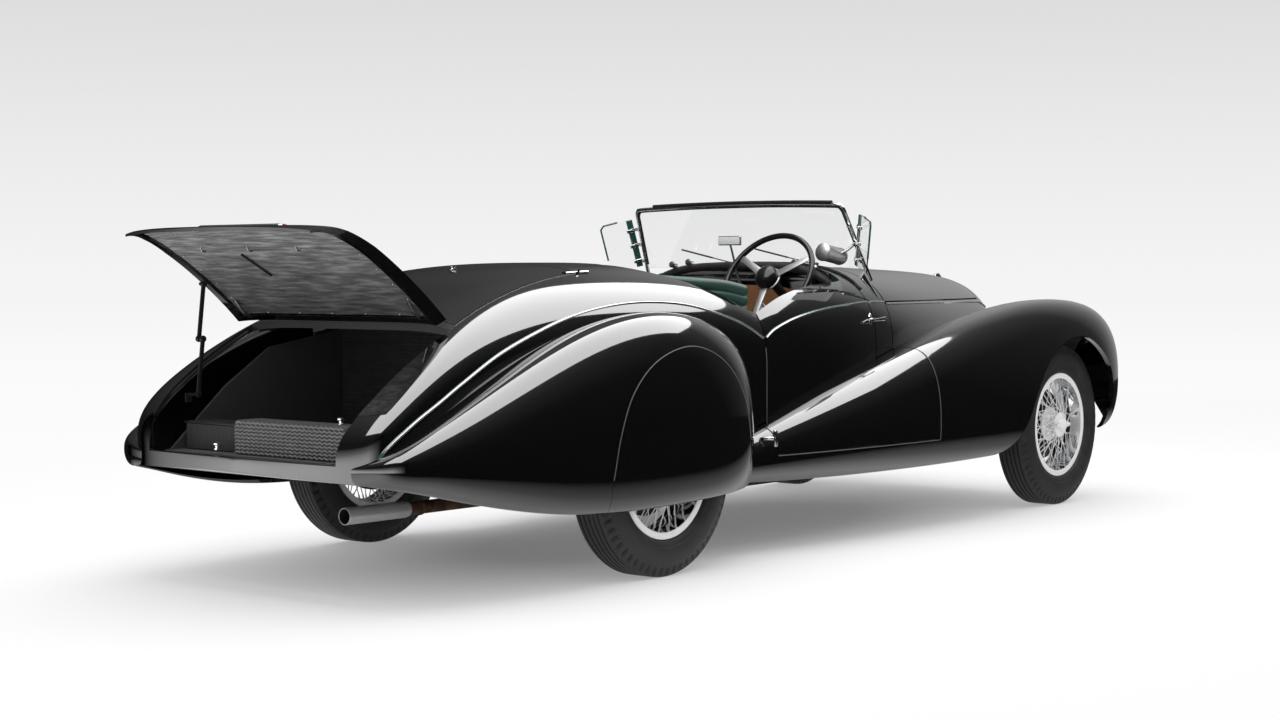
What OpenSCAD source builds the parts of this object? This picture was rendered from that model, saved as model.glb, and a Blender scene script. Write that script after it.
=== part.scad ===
// Open two-seat roadster with pontoon wings, rear wheel covers, rear-hinged doors,
// a propped boot lid and wire wheels. Millimetres, +X forward, +Y left, +Z up.
// The modules place every piece from the middle of the wheelbase on the ground;
// origin_shift then moves the whole car so that its box is centred on X.

/* [Running gear] */
// Distance between the front and rear axles
wheelbase = 2900; // [2880:1:2920]
// Distance between the front tyres' centre planes
front_track = 1430; // [1420:1:1440]
// Distance between the rear tyres' centre planes
rear_track = 1456; // [1448:1:1464]
// Outside diameter of the tyres
tyre_d = 735; // [725:1:740]
// Section width of the tyres
tyre_w = 164; // [150:1:168]
// Outside diameter of the rims over their flanges
rim_d = 470; // [462:1:476]
// Spokes in each of the four lacing rows of a wheel
spokes_per_row = 14; // [10:1:16]

/* [Body] */
// Thickness of the body walls
wall = 22; // [18:1:26]
// Gap round the opening panels
panel_gap = 6; // [5:1:8]
// Thickness of the doors above the wing tail
door_wall = 64; // [50:1:70]
// Height of the cut along the foot of the doors
door_foot = 380; // [370:1:390]
// Height of the seam between bonnet top and bonnet side
bonnet_seam = 940; // [930:1:950]
// Angle that the boot lid stands open
lid_open = 68; // [64:1:72]

/* [Windscreen] */
// Rake of the windscreen from the vertical
screen_rake = 26; // [20:1:32]

/* [Hidden] */
$fn = 48;
origin_shift = 358;
front_x = wheelbase / 2;
rear_x = -wheelbase / 2;
hub_z = tyre_d / 2;
rim_r = rim_d / 2;
cowl_front = 268;       // rear edge of the bonnet
nose_seam = 1600;       // front edge of the bonnet
hinge_deck = [-1484, 1096];   // x and z of the top cover's hinge line
lid_rim = 24;           // width of the deep rim round the boot lid
door_rear = -740;       // rear end of the door's part on the wing
hinge_boot = [-2200, 893];    // x and z of the boot lid's hinge line
lid_half = 495;         // half width of the boot lid
cover_half = 405;       // half width of the top cover at its hinges
door_pin = [-790, 782]; // x and y of the door's hinge pin
door_reach = 915;       // door radius about its pin, on the body side
wing_reach = 1072;      // door radius about its pin, on the wing tail
helm = [-200, -320, 1038];    // middle of the steering wheel
helm_tilt = 121.5;      // tilt of the steering wheel's axis
screen_top = 1345;      // height of the windscreen's top edge
stay_foot = [-2500, 442, 640];
stay_eye = [-2456, 463, 1020];

// Hull stations: x, half width, low edge, shoulder, crown, squareness
fore_rows = [
    [-680, 664, 300, 650, 1040, 3.2],
    [-610, 664, 300, 660, 1070, 3.2],
    [-420, 662, 300, 680, 1098, 3.4],
    [0, 652, 300, 690, 1104, 3.4],
    [300, 626, 330, 690, 1096, 3.2],
    [700, 556, 470, 690, 1084, 2.9],
    [1100, 466, 620, 690, 1076, 2.6],
    [1450, 372, 620, 690, 1062, 2.4],
    [1700, 300, 460, 690, 1030, 2.3],
    [1800, 250, 360, 690, 960, 2.2],
    [1812, 205, 330, 690, 880, 2.2]
];
tail_rows = [
    [-680, 664, 300, 650, 1040, 3.2],
    [-790, 660, 310, 660, 1068, 3.2],
    [-980, 648, 330, 670, 1094, 3.2],
    [-1300, 632, 350, 680, 1102, 3.2],
    [-1700, 622, 350, 650, 1084, 3.4],
    [-2000, 624, 350, 570, 998, 4.2],
    [-2240, 634, 356, 500, 880, 6.2],
    [-2440, 642, 366, 450, 756, 8.4],
    [-2570, 640, 384, 434, 664, 8],
    [-2650, 604, 396, 428, 590, 6.4],
    [-2688, 510, 403, 426, 532, 5],
    [-2700, 360, 408, 426, 488, 4],
    [-2704, 160, 412, 426, 462, 3],
    [-2704, 20, 414, 426, 452, 2.6]
];
// Wing stations: x, low y, outer y, crown y, inner y, low z, widest z, crown z, valley z
front_wing_rows = [
    [2072, 680, 700, 676, 640, 520, 575, 625, 585],
    [2074, 680, 745, 684, 590, 410, 560, 715, 620],
    [2014, 730, 800, 694, 530, 345, 545, 815, 660],
    [1820, 790, 858, 704, 440, 330, 522, 922, 690],
    [1450, 810, 870, 704, 340, 300, 500, 950, 720],
    [1120, 808, 868, 698, 420, 280, 480, 922, 770],
    [720, 800, 860, 690, 520, 268, 450, 848, 800],
    [280, 786, 850, 676, 610, 262, 420, 752, 745],
    [-200, 756, 826, 664, 648, 262, 390, 634, 628],
    [-600, 716, 786, 678, 640, 266, 370, 520, 512],
    [-893, 690, 736, 678, 636, 278, 350, 432, 422]
];
rear_wing_rows = [
    [-900, 680, 690, 650, 600, 290, 400, 520, 470],
    [-905, 730, 760, 670, 600, 284, 420, 690, 600],
    [-980, 796, 836, 690, 600, 276, 450, 820, 740],
    [-1180, 838, 868, 705, 600, 266, 480, 905, 850],
    [-1450, 838, 876, 712, 596, 256, 480, 934, 890],
    [-1750, 826, 866, 706, 590, 250, 470, 884, 850],
    [-2050, 790, 840, 694, 590, 268, 450, 770, 738],
    [-2330, 736, 800, 684, 590, 320, 440, 640, 615],
    [-2500, 690, 752, 672, 590, 362, 445, 558, 540],
    [-2590, 672, 726, 668, 592, 382, 447, 512, 498],
    [-2618, 642, 686, 654, 592, 398, 448, 486, 476],
    [-2620, 618, 648, 632, 590, 416, 448, 468, 462]
];

// Cubic B-spline through a table of stations; u runs from 0 to 1 and the ends are held
function weights(f) =
    [pow(1 - f, 3), 3*f*f*f - 6*f*f + 4, -3*f*f*f + 3*f*f + 3*f + 1, f*f*f] / 6;
function held(rows, i) = rows[max(0, min(len(rows) - 1, i))];
function station(rows, u) =
    let (s = u * (len(rows) + 1), k = min(floor(s), len(rows)), w = weights(s - k))
    w[0]*held(rows, k - 2) + w[1]*held(rows, k - 1) + w[2]*held(rows, k) + w[3]*held(rows, k + 1);

function arc(k) = [for (i = [0:k]) 90 * i / k];

// Half of a hull section, from the low edge over the shoulder to the crown; t insets it
function hull_half(r, t, k) =
    let (w = r[1] - t, s = r[3], c = r[4] - t, p = 2 / r[5])
    concat([[w, r[2] - t * 4]],
        [for (a = arc(k)) [w * pow(cos(a), p), s + (c - s) * pow(sin(a), p)]]);
function hull_loop(r, t, k) =
    let (h = hull_half(r, t, k), n = len(h))
    concat(h, [for (i = [n - 2:-1:0]) [-h[i][0], h[i][1]]]);

// A wing section, from the low edge up the outside, over the crown to the valley; t insets it
function wing_loop(r, t, k) =
    let (low = r[1] - t, o = r[2] - t, c = r[3], inn = r[4] + t,
         zl = r[5], zm = r[6], zc = r[7] - t, zv = r[8] - t)
    concat(
        t > 0 ? [[low, zl - 260]] : [],
        [for (a = arc(k)) [low + (o - low) * sin(a), zm - (zm - zl) * cos(a)]],
        [for (a = arc(k + 2)) if (a > 0) [c + (o - c) * pow(cos(a), 0.8), zm + (zc - zm) * pow(sin(a), 0.8)]],
        [for (a = arc(k)) if (a > 0) [c - (c - inn) * sin(a), zv + (zc - zv) * cos(a)]],
        t > 0 ? [[inn, zl - 260]] : []);

// Solid through a list of loops [x, loop of y and z]
module loft(stations) {
    m = len(stations);
    loops = stations[m - 1][0] > stations[0][0] ? stations : [for (i = [m - 1:-1:0]) stations[i]];
    n = len(loops[0][1]);
    points = [for (l = loops, p = l[1]) [l[0], p[0], p[1]]];
    sides = [for (i = [0:m - 2], j = [0:n - 1])
        let (a = i * n + j, b = i * n + (j + 1) % n, c = a + n, d = b + n)
        each j < n / 2 - 1 ? [[a, c, b], [b, c, d]] : [[a, c, d], [a, d, b]]];
    ends = [[for (j = [0:n - 1]) j], [for (j = [n - 1:-1:0]) (m - 1) * n + j]];
    polyhedron(points, concat(sides, ends), convexity = 8);
}

// Loft along a table: between two values of u, in some steps, with an inset
module hull_form(rows, t, from, to, steps, k)
    loft([for (i = [0:steps]) let (r = station(rows, from + (to - from) * i / steps))
        [r[0], hull_loop(r, t, k)]]);
module wing_form(rows, t, from, to, steps, k)
    loft([for (i = [0:steps]) let (r = station(rows, from + (to - from) * i / steps))
        [r[0], wing_loop(r, t, k)]]);

// Keeps a cut skin as one surface
module skin() resize([0, 0, 0]) children();
// Places a left-hand piece on the left (1) or right (-1)
module on_side(s) if (s > 0) children(); else mirror([0, 1, 0]) children();
module car() translate([origin_shift, 0, 0]) children();
// Box from two corners
module span(a, b) translate(a) cube(b - a);

fore_steps = 18;
tail_steps = 22;
wing_steps = 26;
section_k = 7;

module fore(t) hull_form(fore_rows, t, 0, 1, fore_steps, section_k);
module tail(t) hull_form(tail_rows, t, 0, 1, tail_steps, section_k);
module front_wing(t) wing_form(front_wing_rows, t, 0, 1, wing_steps, 4);
module rear_wing(t) wing_form(rear_wing_rows, t, 0, 1, wing_steps, 4);

// Solid zones that the panels are cut by
module door_zone(reach, grow)
    translate([door_pin[0], door_pin[1], door_foot - grow]) cylinder(r = reach + grow, h = 1200, $fn = 96);
module cockpit_zone() {
    edge = [[60, 440], [42, 492], [0, 526], [-220, 552], [-500, 588], [-680, 604], [-790, 568], [-920, 515],
            [-1050, 435], [-1130, 340], [-1180, 200], [-1195, 70]];
    translate([0, 0, 600]) linear_extrude(900) polygon(concat(edge,
        [for (i = [len(edge) - 1:-1:0]) [edge[i][0], -edge[i][1]]]));
}
module cover_zone(grow)
    translate([0, 0, 640]) linear_extrude(700) offset(delta = grow)
        polygon([[hinge_deck[0] - 10, -cover_half], [hinge_deck[0] - 10, cover_half],
                 [hinge_boot[0] + 20, lid_half - 6], [hinge_boot[0] + 20, 6 - lid_half]]);
module boot_zone(grow)
    translate([0, 0, 462 - grow]) linear_extrude(700) offset(delta = grow)
        polygon([[hinge_boot[0] - 22, -lid_half], [hinge_boot[0] - 22, lid_half],
                 [-2560, lid_half], [-2640, lid_half - 12], [-2720, lid_half - 50],
                 [-2720, 50 - lid_half], [-2640, 12 - lid_half], [-2560, -lid_half]]);
module bonnet_zone(grow)
    span([cowl_front - grow + 4, -700, bonnet_seam - grow], [nose_seam + grow, 700, 1300]);
module spat_zone(grow)
    translate([0, 1000, 0]) rotate([90, 0, 0]) linear_extrude(260) offset(delta = grow)
        polygon([[-1806, 200], [-1808, 370], [-1780, 505], [-1716, 640], [-1600, 740], [-1450, 793],
                 [-1310, 795], [-1165, 734], [-1062, 610], [-1014, 455], [-1000, 200]]);
module arch_zone()
    translate([0, 1100, 0]) rotate([90, 0, 0]) linear_extrude(620)
        polygon([[1806, 180], [1824, 395], [1866, 460], [1872, 520], [1845, 600], [1790, 660], [1700, 720],
                 [1600, 762], [1500, 772], [1380, 756], [1260, 705], [1160, 630], [1075, 525], [1010, 415],
                 [930, 330], [820, 280], [640, 250], [560, 180]]);

// Chassis
module rail(s) translate([0, s > 0 ? 390 : -330, 0]) rotate([90, 0, 0]) linear_extrude(60)
    polygon([[1752, 420], [1752, 500], [1170, 500], [880, 300], [-1060, 300], [-1260, 510], [-1640, 510],
             [-1760, 432], [-2500, 432], [-2500, 396], [-1790, 360], [-1670, 435], [-1230, 435],
             [-1030, 210], [890, 210], [1190, 420]]);
module chassis_rail(s) color("#26272a") car() difference() {
    union() {
        rail(s);
        span([1752, s * 360 - 27, 452], [1808, s * 360 + 27, 468]);
    }
    translate([1780, s * 360, 440]) cylinder(r = 11, h = 40);
}
module chassis_rail_left() chassis_rail(1);
module chassis_rail_right() chassis_rail(-1);
module chassis_cross() color("#26272a") car() difference() {
    union() {
        span([1560, -330, 430], [1640, 330, 480]);
        span([500, -330, 284], [560, 330, 300]);
        span([-900, -330, 284], [-820, 330, 300]);
        span([-2480, -330, 398], [-2420, 330, 432]);
        span([-2560, -45, 404], [-2480, 45, 420]);
    }
    translate([-2526, 0, 380]) cylinder(r = 14, h = 60);
}

module floor_pan() color("#1d1e20") car() union() {
    span([-890, -600, 300], [300, 600, 316]);
    for (s = [-1, 1]) span([-672, min(s * 578, s * 610), 316], [110, max(s * 578, s * 610), 370]);
    span([286, -580, 316], [300, 580, 860]);
    rotate([90, 0, 0]) linear_extrude(1120, center = true) polygon([[-890, 316], [-890, 436], [-1108, 436],
        [-1204, 920], [-1218, 920], [-1122, 422], [-904, 422], [-904, 300], [-890, 300]]);
}

module engine() color("#55585c") car() union() {
    span([450, -215, 380], [1330, 215, 930]);
    for (s = [-1, 1]) span([1220, s > 0 ? 200 : -330, 440], [1300, s > 0 ? 330 : -200, 480]);
}

module front_axle() color("#303236") car() union() {
    translate([front_x, 0, hub_z]) rotate([90, 0, 0]) cylinder(r = 30, h = 1250, center = true);
    for (s = [-1, 1]) {
        translate([front_x, s * 640, hub_z - 46]) cylinder(r = 30, h = 92);
        span([front_x - 40, s * 360 - 25, hub_z], [front_x + 40, s * 360 + 25, hub_z + 34]);
    }
}
module front_springs() color("#303236") car() for (s = [-1, 1]) union() {
    span([1195, s * 360 - 25, hub_z + 34], [1750, s * 360 + 25, 412]);
    span([1195, s * 360 - 25, 404], [1225, s * 360 + 25, 420]);
    span([1722, s * 360 - 25, 404], [1750, s * 360 + 25, 420]);
}

module rear_axle() color("#303236") car() union() {
    translate([rear_x, 0, hub_z]) rotate([90, 0, 0]) {
        cylinder(r = 38, h = 1380, center = true);
        cylinder(r = 115, h = 200, center = true);
        cylinder(r = 25, h = 1566, center = true);
    }
    for (s = [-1, 1]) {
        translate([rear_x, s * 690, hub_z]) rotate([90, 0, 0]) cylinder(r = 160, h = 20, center = true);
        span([rear_x - 40, s * 420 - 28, 324], [rear_x + 40, s * 420 + 28, hub_z]);
    }
}
module rear_springs() color("#303236") car() for (s = [-1, 1]) on_side(s) union() {
    span([-1980, 390, 306], [-910, 450, 324]);
    span([-1980, 390, 306], [-1944, 450, 420]);
    span([-946, 390, 230], [-910, 450, 324]);
}

module exhaust() color("#8d8f92") car() difference() {
    union() {
        translate([-2412, -200, 255]) rotate([0, 90, 0]) cylinder(r = 29, h = 300);
        translate([-2140, -200, 255]) rotate([0, 90, 0]) cylinder(r = 23, h = 2760);
        translate([-480, -200, 240]) rotate([0, 90, 0]) cylinder(r = 58, h = 760);
        translate([600, -200, 240]) cylinder(r = 23, h = 140);
    }
    translate([-2422, -200, 255]) rotate([0, 90, 0]) cylinder(r = 25, h = 260);
}

// Body
module front_body() color("#0b0c0e") car() skin() difference() {
    intersection() {
        fore(0);
        span([cowl_front + 3, -900, 0], [2000, 900, 1300]);
    }
    difference() {
        hull_form(fore_rows, wall, 0, 0.985, fore_steps, section_k);
        span([1786, -900, 0], [2100, 900, 1300]);
    }
    bonnet_zone(3);
    translate([1700, 0, 0]) rotate([90, 0, 90]) linear_extrude(200) grille_oval(150, 220);
}
module grille_oval(a, b) translate([0, 616]) polygon([for (i = [0:35]) [a * cos(i * 10), b * sin(i * 10)]]);

module grille() color("#d7d9db") car() union() {
    translate([1790, 0, 0]) rotate([90, 0, 90]) linear_extrude(20) difference() {
        grille_oval(150, 220);
        grille_oval(140, 210);
    }
    for (i = [-5:5]) let (y = i * 24, h = 215 * sqrt(1 - pow(y / 145, 2)))
        span([1794, y - 4, 616 - h], [1806, y + 4, 616 + h]);
}

module headlamps() color("#d7d9db") car() skin() difference() {
    for (s = [-1, 1]) translate([1700, s * 400, 770]) {
        rotate([0, 90, 0]) cylinder(r = 92, h = 150, $fn = 32);
        sphere(92, $fn = 24);
    }
    for (s = [-1, 1]) on_side(s) front_wing(0);
    fore(0);
}

module front_fender(s) color("#0b0c0e") car() on_side(s) skin() difference() {
    front_wing(0);
    difference() {
        front_wing(wall);
        span([-1200, 0, 0], [250, 1000, 372]);
        span([2006, 0, 0], [2300, 1000, 1200]);
    }
    fore(0);
    arch_zone();
    translate([front_x, 812, hub_z]) rotate([90, 0, 0]) cylinder(r = hub_z + 14, h = 400, $fn = 72);
    intersection() {
        door_zone(wing_reach, panel_gap);
        span([door_rear - panel_gap, 0, 0], [400, 1000, 1300]);
    }
    tail(0);
    rear_wing(-4);
}
module front_fender_left() front_fender(1);
module front_fender_right() front_fender(-1);

module cowl() color("#0b0c0e") car() skin() difference() {
    intersection() {
        fore(0);
        span([-672, -900, 300], [cowl_front - 3, 900, 1300]);
    }
    fore(wall);
    cockpit_zone();
    for (s = [-1, 1]) on_side(s) intersection() {
        door_zone(door_reach, panel_gap);
        span([-900, 300, 0], [400, 1000, 1300]);
    }
}

module door(s) color("#0b0c0e") car() on_side(s) skin() difference() {
    union() {
        intersection() {
            difference() {
                fore(0);
                hull_form(fore_rows, door_wall, 0, 1, fore_steps, section_k);
                cockpit_zone();
            }
            door_zone(door_reach, 0);
            span([-674, 300, 0], [400, 900, 1300]);
        }
        intersection() {
            difference() {
                front_wing(0);
                difference() {
                    fore(-panel_gap);
                    door_zone(door_reach, -2);
                }
                tail(-panel_gap);
            }
            door_zone(wing_reach, 0);
            union() {
                span([door_rear, 672, 0], [400, 1000, 1300]);
                span([-674, 300, 0], [400, 1000, 1300]);
            }
        }
    }
}
module door_left() door(1);
module door_right() door(-1);

module bonnet(s) color("#0b0c0e") car() on_side(s) skin() difference() {
    intersection() {
        fore(0);
        bonnet_zone(-3);
        span([0, 3, 0], [2000, 900, 1300]);
    }
    hull_form(fore_rows, wall - 6, 0, 1, fore_steps, section_k);
}
module bonnet_left() bonnet(1);
module bonnet_right() bonnet(-1);

module tail_room() difference() {
    tail(wall);
    span([-3000, -900, 0], [-2664, 900, 1300]);
}
module tail_body() color("#0b0c0e") car() skin() difference() {
    tail(0);
    tail_room();
    cockpit_zone();
    cover_zone(panel_gap);
    boot_zone(panel_gap);
    span([-1540, -900, 0], [-1360, 900, 450]);
}

module rear_fender(s) color("#0b0c0e") car() on_side(s) skin() difference() {
    rear_wing(0);
    wing_form(rear_wing_rows, wall, 0.03, 0.97, wing_steps, 4);
    tail(0);
    spat_zone(2);
}
module rear_fender_left() rear_fender(1);
module rear_fender_right() rear_fender(-1);

module spat(s) color("#0b0c0e") car() on_side(s) skin() intersection() {
    difference() {
        rear_wing(0);
        wing_form(rear_wing_rows, wall, 0.03, 0.97, wing_steps, 4);
    }
    spat_zone(0);
}
module spat_left() spat(1);
module spat_right() spat(-1);

module top_cover() color("#0b0c0e") car() skin() difference() {
    intersection() {
        tail(0);
        cover_zone(0);
    }
    tail(wall);
}

module boot_lid_closed() difference() {
    intersection() {
        tail(0);
        boot_zone(0);
    }
    tail(2 * wall);
    intersection() {
        tail(wall + 4);
        boot_zone(-lid_rim);
    }
}
module swing_lid() translate([hinge_boot[0], 0, hinge_boot[1]]) rotate([0, lid_open, 0])
    translate([-hinge_boot[0], 0, -hinge_boot[1]]) children();
module boot_lid() color("#0b0c0e") car() skin() swing_lid() boot_lid_closed();

module lid_lamp() color("#c8cacc") car() skin() swing_lid() difference() {
    translate([-2610, 0, 590]) rotate([0, -50, 0]) span([-66, -210, -60], [44, 210, 40]);
    tail(0);
}

module boot_box() color("#1a1b1d") car() union() {
    span([-2590, -512, 436], [-1760, 512, 450]);
    span([-1776, -512, 450], [-1760, 512, 850]);
    for (s = [-1, 1]) translate([0, s > 0 ? 512 : -500, 0]) rotate([90, 0, 0]) linear_extrude(12)
        polygon([[-1776, 450], [-1776, 850], [-2130, 790], [-2330, 660], [-2480, 530], [-2570, 450]]);
}

module link(a, b, r) {
    d = b - a;
    translate(a) rotate([0, acos(d[2] / norm(d)), atan2(d[1], d[0])]) cylinder(r = r, h = norm(d));
}
stay_elbow = (stay_foot + stay_eye) / 2;
module boot_stay_lower() color("#202124") car()
    link(stay_foot, [stay_elbow[0], stay_foot[1], stay_elbow[2]], 6);
module boot_stay_upper() color("#202124") car()
    link([stay_elbow[0], stay_eye[1], stay_elbow[2]], stay_eye, 5);

module dashboard() color("#5a331d") car() difference() {
    translate([22, 0, 0]) rotate([90, 0, 90]) linear_extrude(34) polygon([
        for (a = [-80:10:80]) let (y = 470 * sin(a)) [y, 1010 - 70 * pow(abs(y) / 470, 2.5)],
        [463, 800], [-463, 800]]);
    translate(helm) rotate([0, helm_tilt, 0]) cylinder(r = 24, h = 600);
}

// A plate in the windscreen plane, from points [y, distance down the slant]
module screen_plate(pts, thick) translate([0, 0, screen_top]) rotate([0, -screen_rake, 0]) rotate([-90, 0, 90])
    linear_extrude(thick, center = true) polygon(pts);
screen_outer = [[-522, 0], [-300, -9], [0, -12], [300, -9], [522, 0], [540, 6], [552, 22], [556, 44], [606, 420],
                [-606, 420], [-556, 44], [-552, 22], [-540, 6]];
screen_inner = [[-520, 16], [-300, 7], [0, 4], [300, 7], [520, 16], [532, 20], [539, 30], [541, 44], [576, 290],
                [-576, 290], [-541, 44], [-539, 30], [-532, 20]];
module windscreen_frame() color("#d7d9db") car() skin() difference() {
    screen_plate(screen_outer, 16);
    screen_plate(screen_inner, 40);
    fore(0);
    difference() {
        span([-200, -400, 900], [400, 400, 1500]);
        span([-200, -900, screen_top - 22], [400, 900, 1500]);
        fore(-12);
    }
}
module windscreen_glass() color("#cfe3e0") car() skin() difference() {
    screen_plate(screen_inner, 5);
    fore(-12);
}

module wind_wings() color("#cfe3e0") car() for (s = [-1, 1]) on_side(s)
    translate([70, 566, 1090]) rotate([0, -14, -52]) span([-140, 0, 0], [0, 5, 215]);

module steering_column() color("#26272a") car() intersection() {
    translate(helm) rotate([0, helm_tilt, 0]) translate([0, 0, 26]) cylinder(r = 19, h = 900);
    span([-400, -400, 0], [286, 0, 1200]);
}
module steering_wheel() color("#141415") car() translate(helm) rotate([0, helm_tilt, 0]) union() {
    rotate_extrude() translate([205, 0]) circle(12, $fn = 24);
    for (a = [30, 150, 270]) rotate(a) span([0, -13, -3], [200, 13, 3]);
    translate([0, 0, -28]) cylinder(r = 46, h = 48);
}

module seat_cushion() color("#12402f") car() rotate([90, 0, 0]) linear_extrude(1100, center = true)
    polygon([[-880, 316], [-400, 316], [-380, 340], [-372, 560], [-384, 596], [-420, 612], [-880, 560]]);
module seat_back() color("#12402f") car() rotate([90, 0, 0]) linear_extrude(970, center = true)
    polygon([[-884, 438], [-884, 600], [-950, 930], [-972, 968], [-1004, 980], [-1040, 966],
             [-1060, 930], [-1080, 438]]);

module rear_mirror() color("#c8cacc") car() union() {
    link([38, 0, 1012], [-30, 0, 1186], 5);
    span([-38, -58, 1178], [-26, 58, 1216]);
}

// Wheels
module knuckle(s) color("#303236") car() on_side(s) translate([front_x, 0, hub_z]) union() {
    span([-34, 606, 52], [34, 690, 74]);
    span([-34, 606, -74], [34, 690, -52]);
    span([-34, 677, -74], [34, 693, 74]);
    translate([0, 693, 0]) rotate([90, 0, 0]) cylinder(r = 160, h = 16);
    translate([0, 776, 0]) rotate([90, 0, 0]) cylinder(r = 25, h = 90);
}
module knuckle_left() knuckle(1);
module knuckle_right() knuckle(-1);

// A wheel stands at its axle with its outer face towards the side s
module at_wheel(x, track, s) translate([x, s * track / 2, hub_z]) rotate([-90 * s, 0, 0]) children();
module tyre_form() rotate_extrude($fn = 96) difference() {
    union() {
        translate([(tyre_d - tyre_w) / 2 - 1, 0]) circle(tyre_w / 2, $fn = 40);
        translate([rim_r + 20, -58]) square([tyre_d / 2 - rim_r - 20, 116]);
        translate([rim_r - 18, -57]) square([60, 114]);
    }
    translate([0, -100]) square([rim_r - 18, 200]);
    for (s = [-1, 1]) translate([0, s > 0 ? 57 : -157]) square([rim_r, 100]);
}
module wheel_form() {
    difference() {
        union() {
            rotate_extrude($fn = 96) polygon([[rim_r - 18, -57], [rim_r, -57], [rim_r, -63], [rim_r - 24, -63],
                [rim_r - 26, -40], [rim_r - 36, -18], [rim_r - 36, 14], [rim_r - 26, 40], [rim_r - 24, 63],
                [rim_r, 63], [rim_r, 57], [rim_r - 18, 57], [rim_r - 18, 30], [rim_r - 30, 12],
                [rim_r - 30, -16], [rim_r - 18, -30]]);
            translate([0, 0, 2]) cylinder(r = 44, h = 72);
            translate([0, 0, 4]) cylinder(r = 76, h = 10);
            translate([0, 0, 58]) cylinder(r = 54, h = 10);
            translate([0, 0, 74]) cylinder(r = 30, h = 14);
            for (a = [0, 180]) rotate(a) span([0, -12, 74], [64, 12, 86]);
            for (row = [0:3], i = [0:spokes_per_row - 1]) spoke(row, i * 360 / spokes_per_row);
        }
        translate([0, 0, -10]) cylinder(r = 25.05, h = 72);
    }
}
module spoke(row, a) {
    outer = row < 2;
    lead = row % 2 == 0 ? 1 : -1;
    hub_r = outer ? 50 : 72;
    hub_h = outer ? 63 : 9;
    turn = a + row * 6 + lead * (outer ? 24 : 34);
    p = [hub_r * cos(a + row * 6), hub_r * sin(a + row * 6), hub_h + lead * 2];
    q = [(rim_r - 34) * cos(turn), (rim_r - 34) * sin(turn), (outer ? 8 : -10) + lead * 3];
    link(p, q, 2.4);
}
module tyre_front_left() color("#161617") car() at_wheel(front_x, front_track, 1) tyre_form();
module tyre_front_right() color("#161617") car() at_wheel(front_x, front_track, -1) tyre_form();
module tyre_rear_left() color("#161617") car() at_wheel(rear_x, rear_track, 1) tyre_form();
module tyre_rear_right() color("#161617") car() at_wheel(rear_x, rear_track, -1) tyre_form();
module wheel_front_left() color("#d7d9db") car() at_wheel(front_x, front_track, 1) wheel_form();
module wheel_front_right() color("#d7d9db") car() at_wheel(front_x, front_track, -1) wheel_form();
module wheel_rear_left() color("#d7d9db") car() at_wheel(rear_x, rear_track, 1) wheel_form();
module wheel_rear_right() color("#d7d9db") car() at_wheel(rear_x, rear_track, -1) wheel_form();

chassis_rail_left();
chassis_rail_right();
chassis_cross();
floor_pan();
engine();
front_axle();
front_springs();
rear_axle();
rear_springs();
exhaust();
front_body();
grille();
headlamps();
front_fender_left();
front_fender_right();
cowl();
dashboard();
windscreen_frame();
windscreen_glass();
wind_wings();
steering_column();
steering_wheel();
seat_cushion();
seat_back();
rear_mirror();
door_left();
door_right();
bonnet_left();
bonnet_right();
tail_body();
rear_fender_left();
rear_fender_right();
spat_left();
spat_right();
top_cover();
boot_lid();
lid_lamp();
boot_box();
boot_stay_lower();
boot_stay_upper();
knuckle_left();
knuckle_right();
tyre_front_left();
tyre_front_right();
tyre_rear_left();
tyre_rear_right();
wheel_front_left();
wheel_front_right();
wheel_rear_left();
wheel_rear_right();
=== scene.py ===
import math
import bmesh
import bpy
from mathutils import Matrix, Vector


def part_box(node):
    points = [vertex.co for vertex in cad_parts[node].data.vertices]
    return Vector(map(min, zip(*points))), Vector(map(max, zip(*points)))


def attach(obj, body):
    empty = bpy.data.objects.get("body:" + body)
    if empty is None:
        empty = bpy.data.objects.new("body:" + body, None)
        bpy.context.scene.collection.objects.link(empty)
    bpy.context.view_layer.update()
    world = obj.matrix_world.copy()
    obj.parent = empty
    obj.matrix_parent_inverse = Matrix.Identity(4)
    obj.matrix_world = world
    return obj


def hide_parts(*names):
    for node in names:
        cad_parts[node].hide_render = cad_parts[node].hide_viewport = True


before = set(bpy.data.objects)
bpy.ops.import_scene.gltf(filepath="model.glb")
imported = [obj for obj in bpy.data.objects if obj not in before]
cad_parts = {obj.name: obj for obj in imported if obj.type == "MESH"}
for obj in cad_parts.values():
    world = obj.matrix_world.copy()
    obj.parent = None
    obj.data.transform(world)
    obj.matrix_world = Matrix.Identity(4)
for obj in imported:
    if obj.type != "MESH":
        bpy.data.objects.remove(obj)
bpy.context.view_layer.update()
scene = bpy.context.scene
scene.view_settings.view_transform = "Standard"

# the pieces are in millimetres from the middle of the wheelbase and go to metres on the way out;
# the studio is in metres
frontTyre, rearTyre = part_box("tyre_front_left"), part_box("tyre_rear_left")
midX = (frontTyre[0].x + frontTyre[1].x + rearTyre[0].x + rearTyre[1].x) / 4
hubZ = (frontTyre[0].z + frontTyre[1].z) * 500
print("frame:", len(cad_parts), "solids, middle at", round(midX, 3))

# camera
cameraSetup = {"place": (-6931.2, -5174.4, 1047.7), "yaw": 0.6878, "pitch": -0.0415, "lens": 56.98}


def toMetres(point):
    return Vector((point[0] / 1000 + midX, point[1] / 1000, point[2] / 1000))


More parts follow.
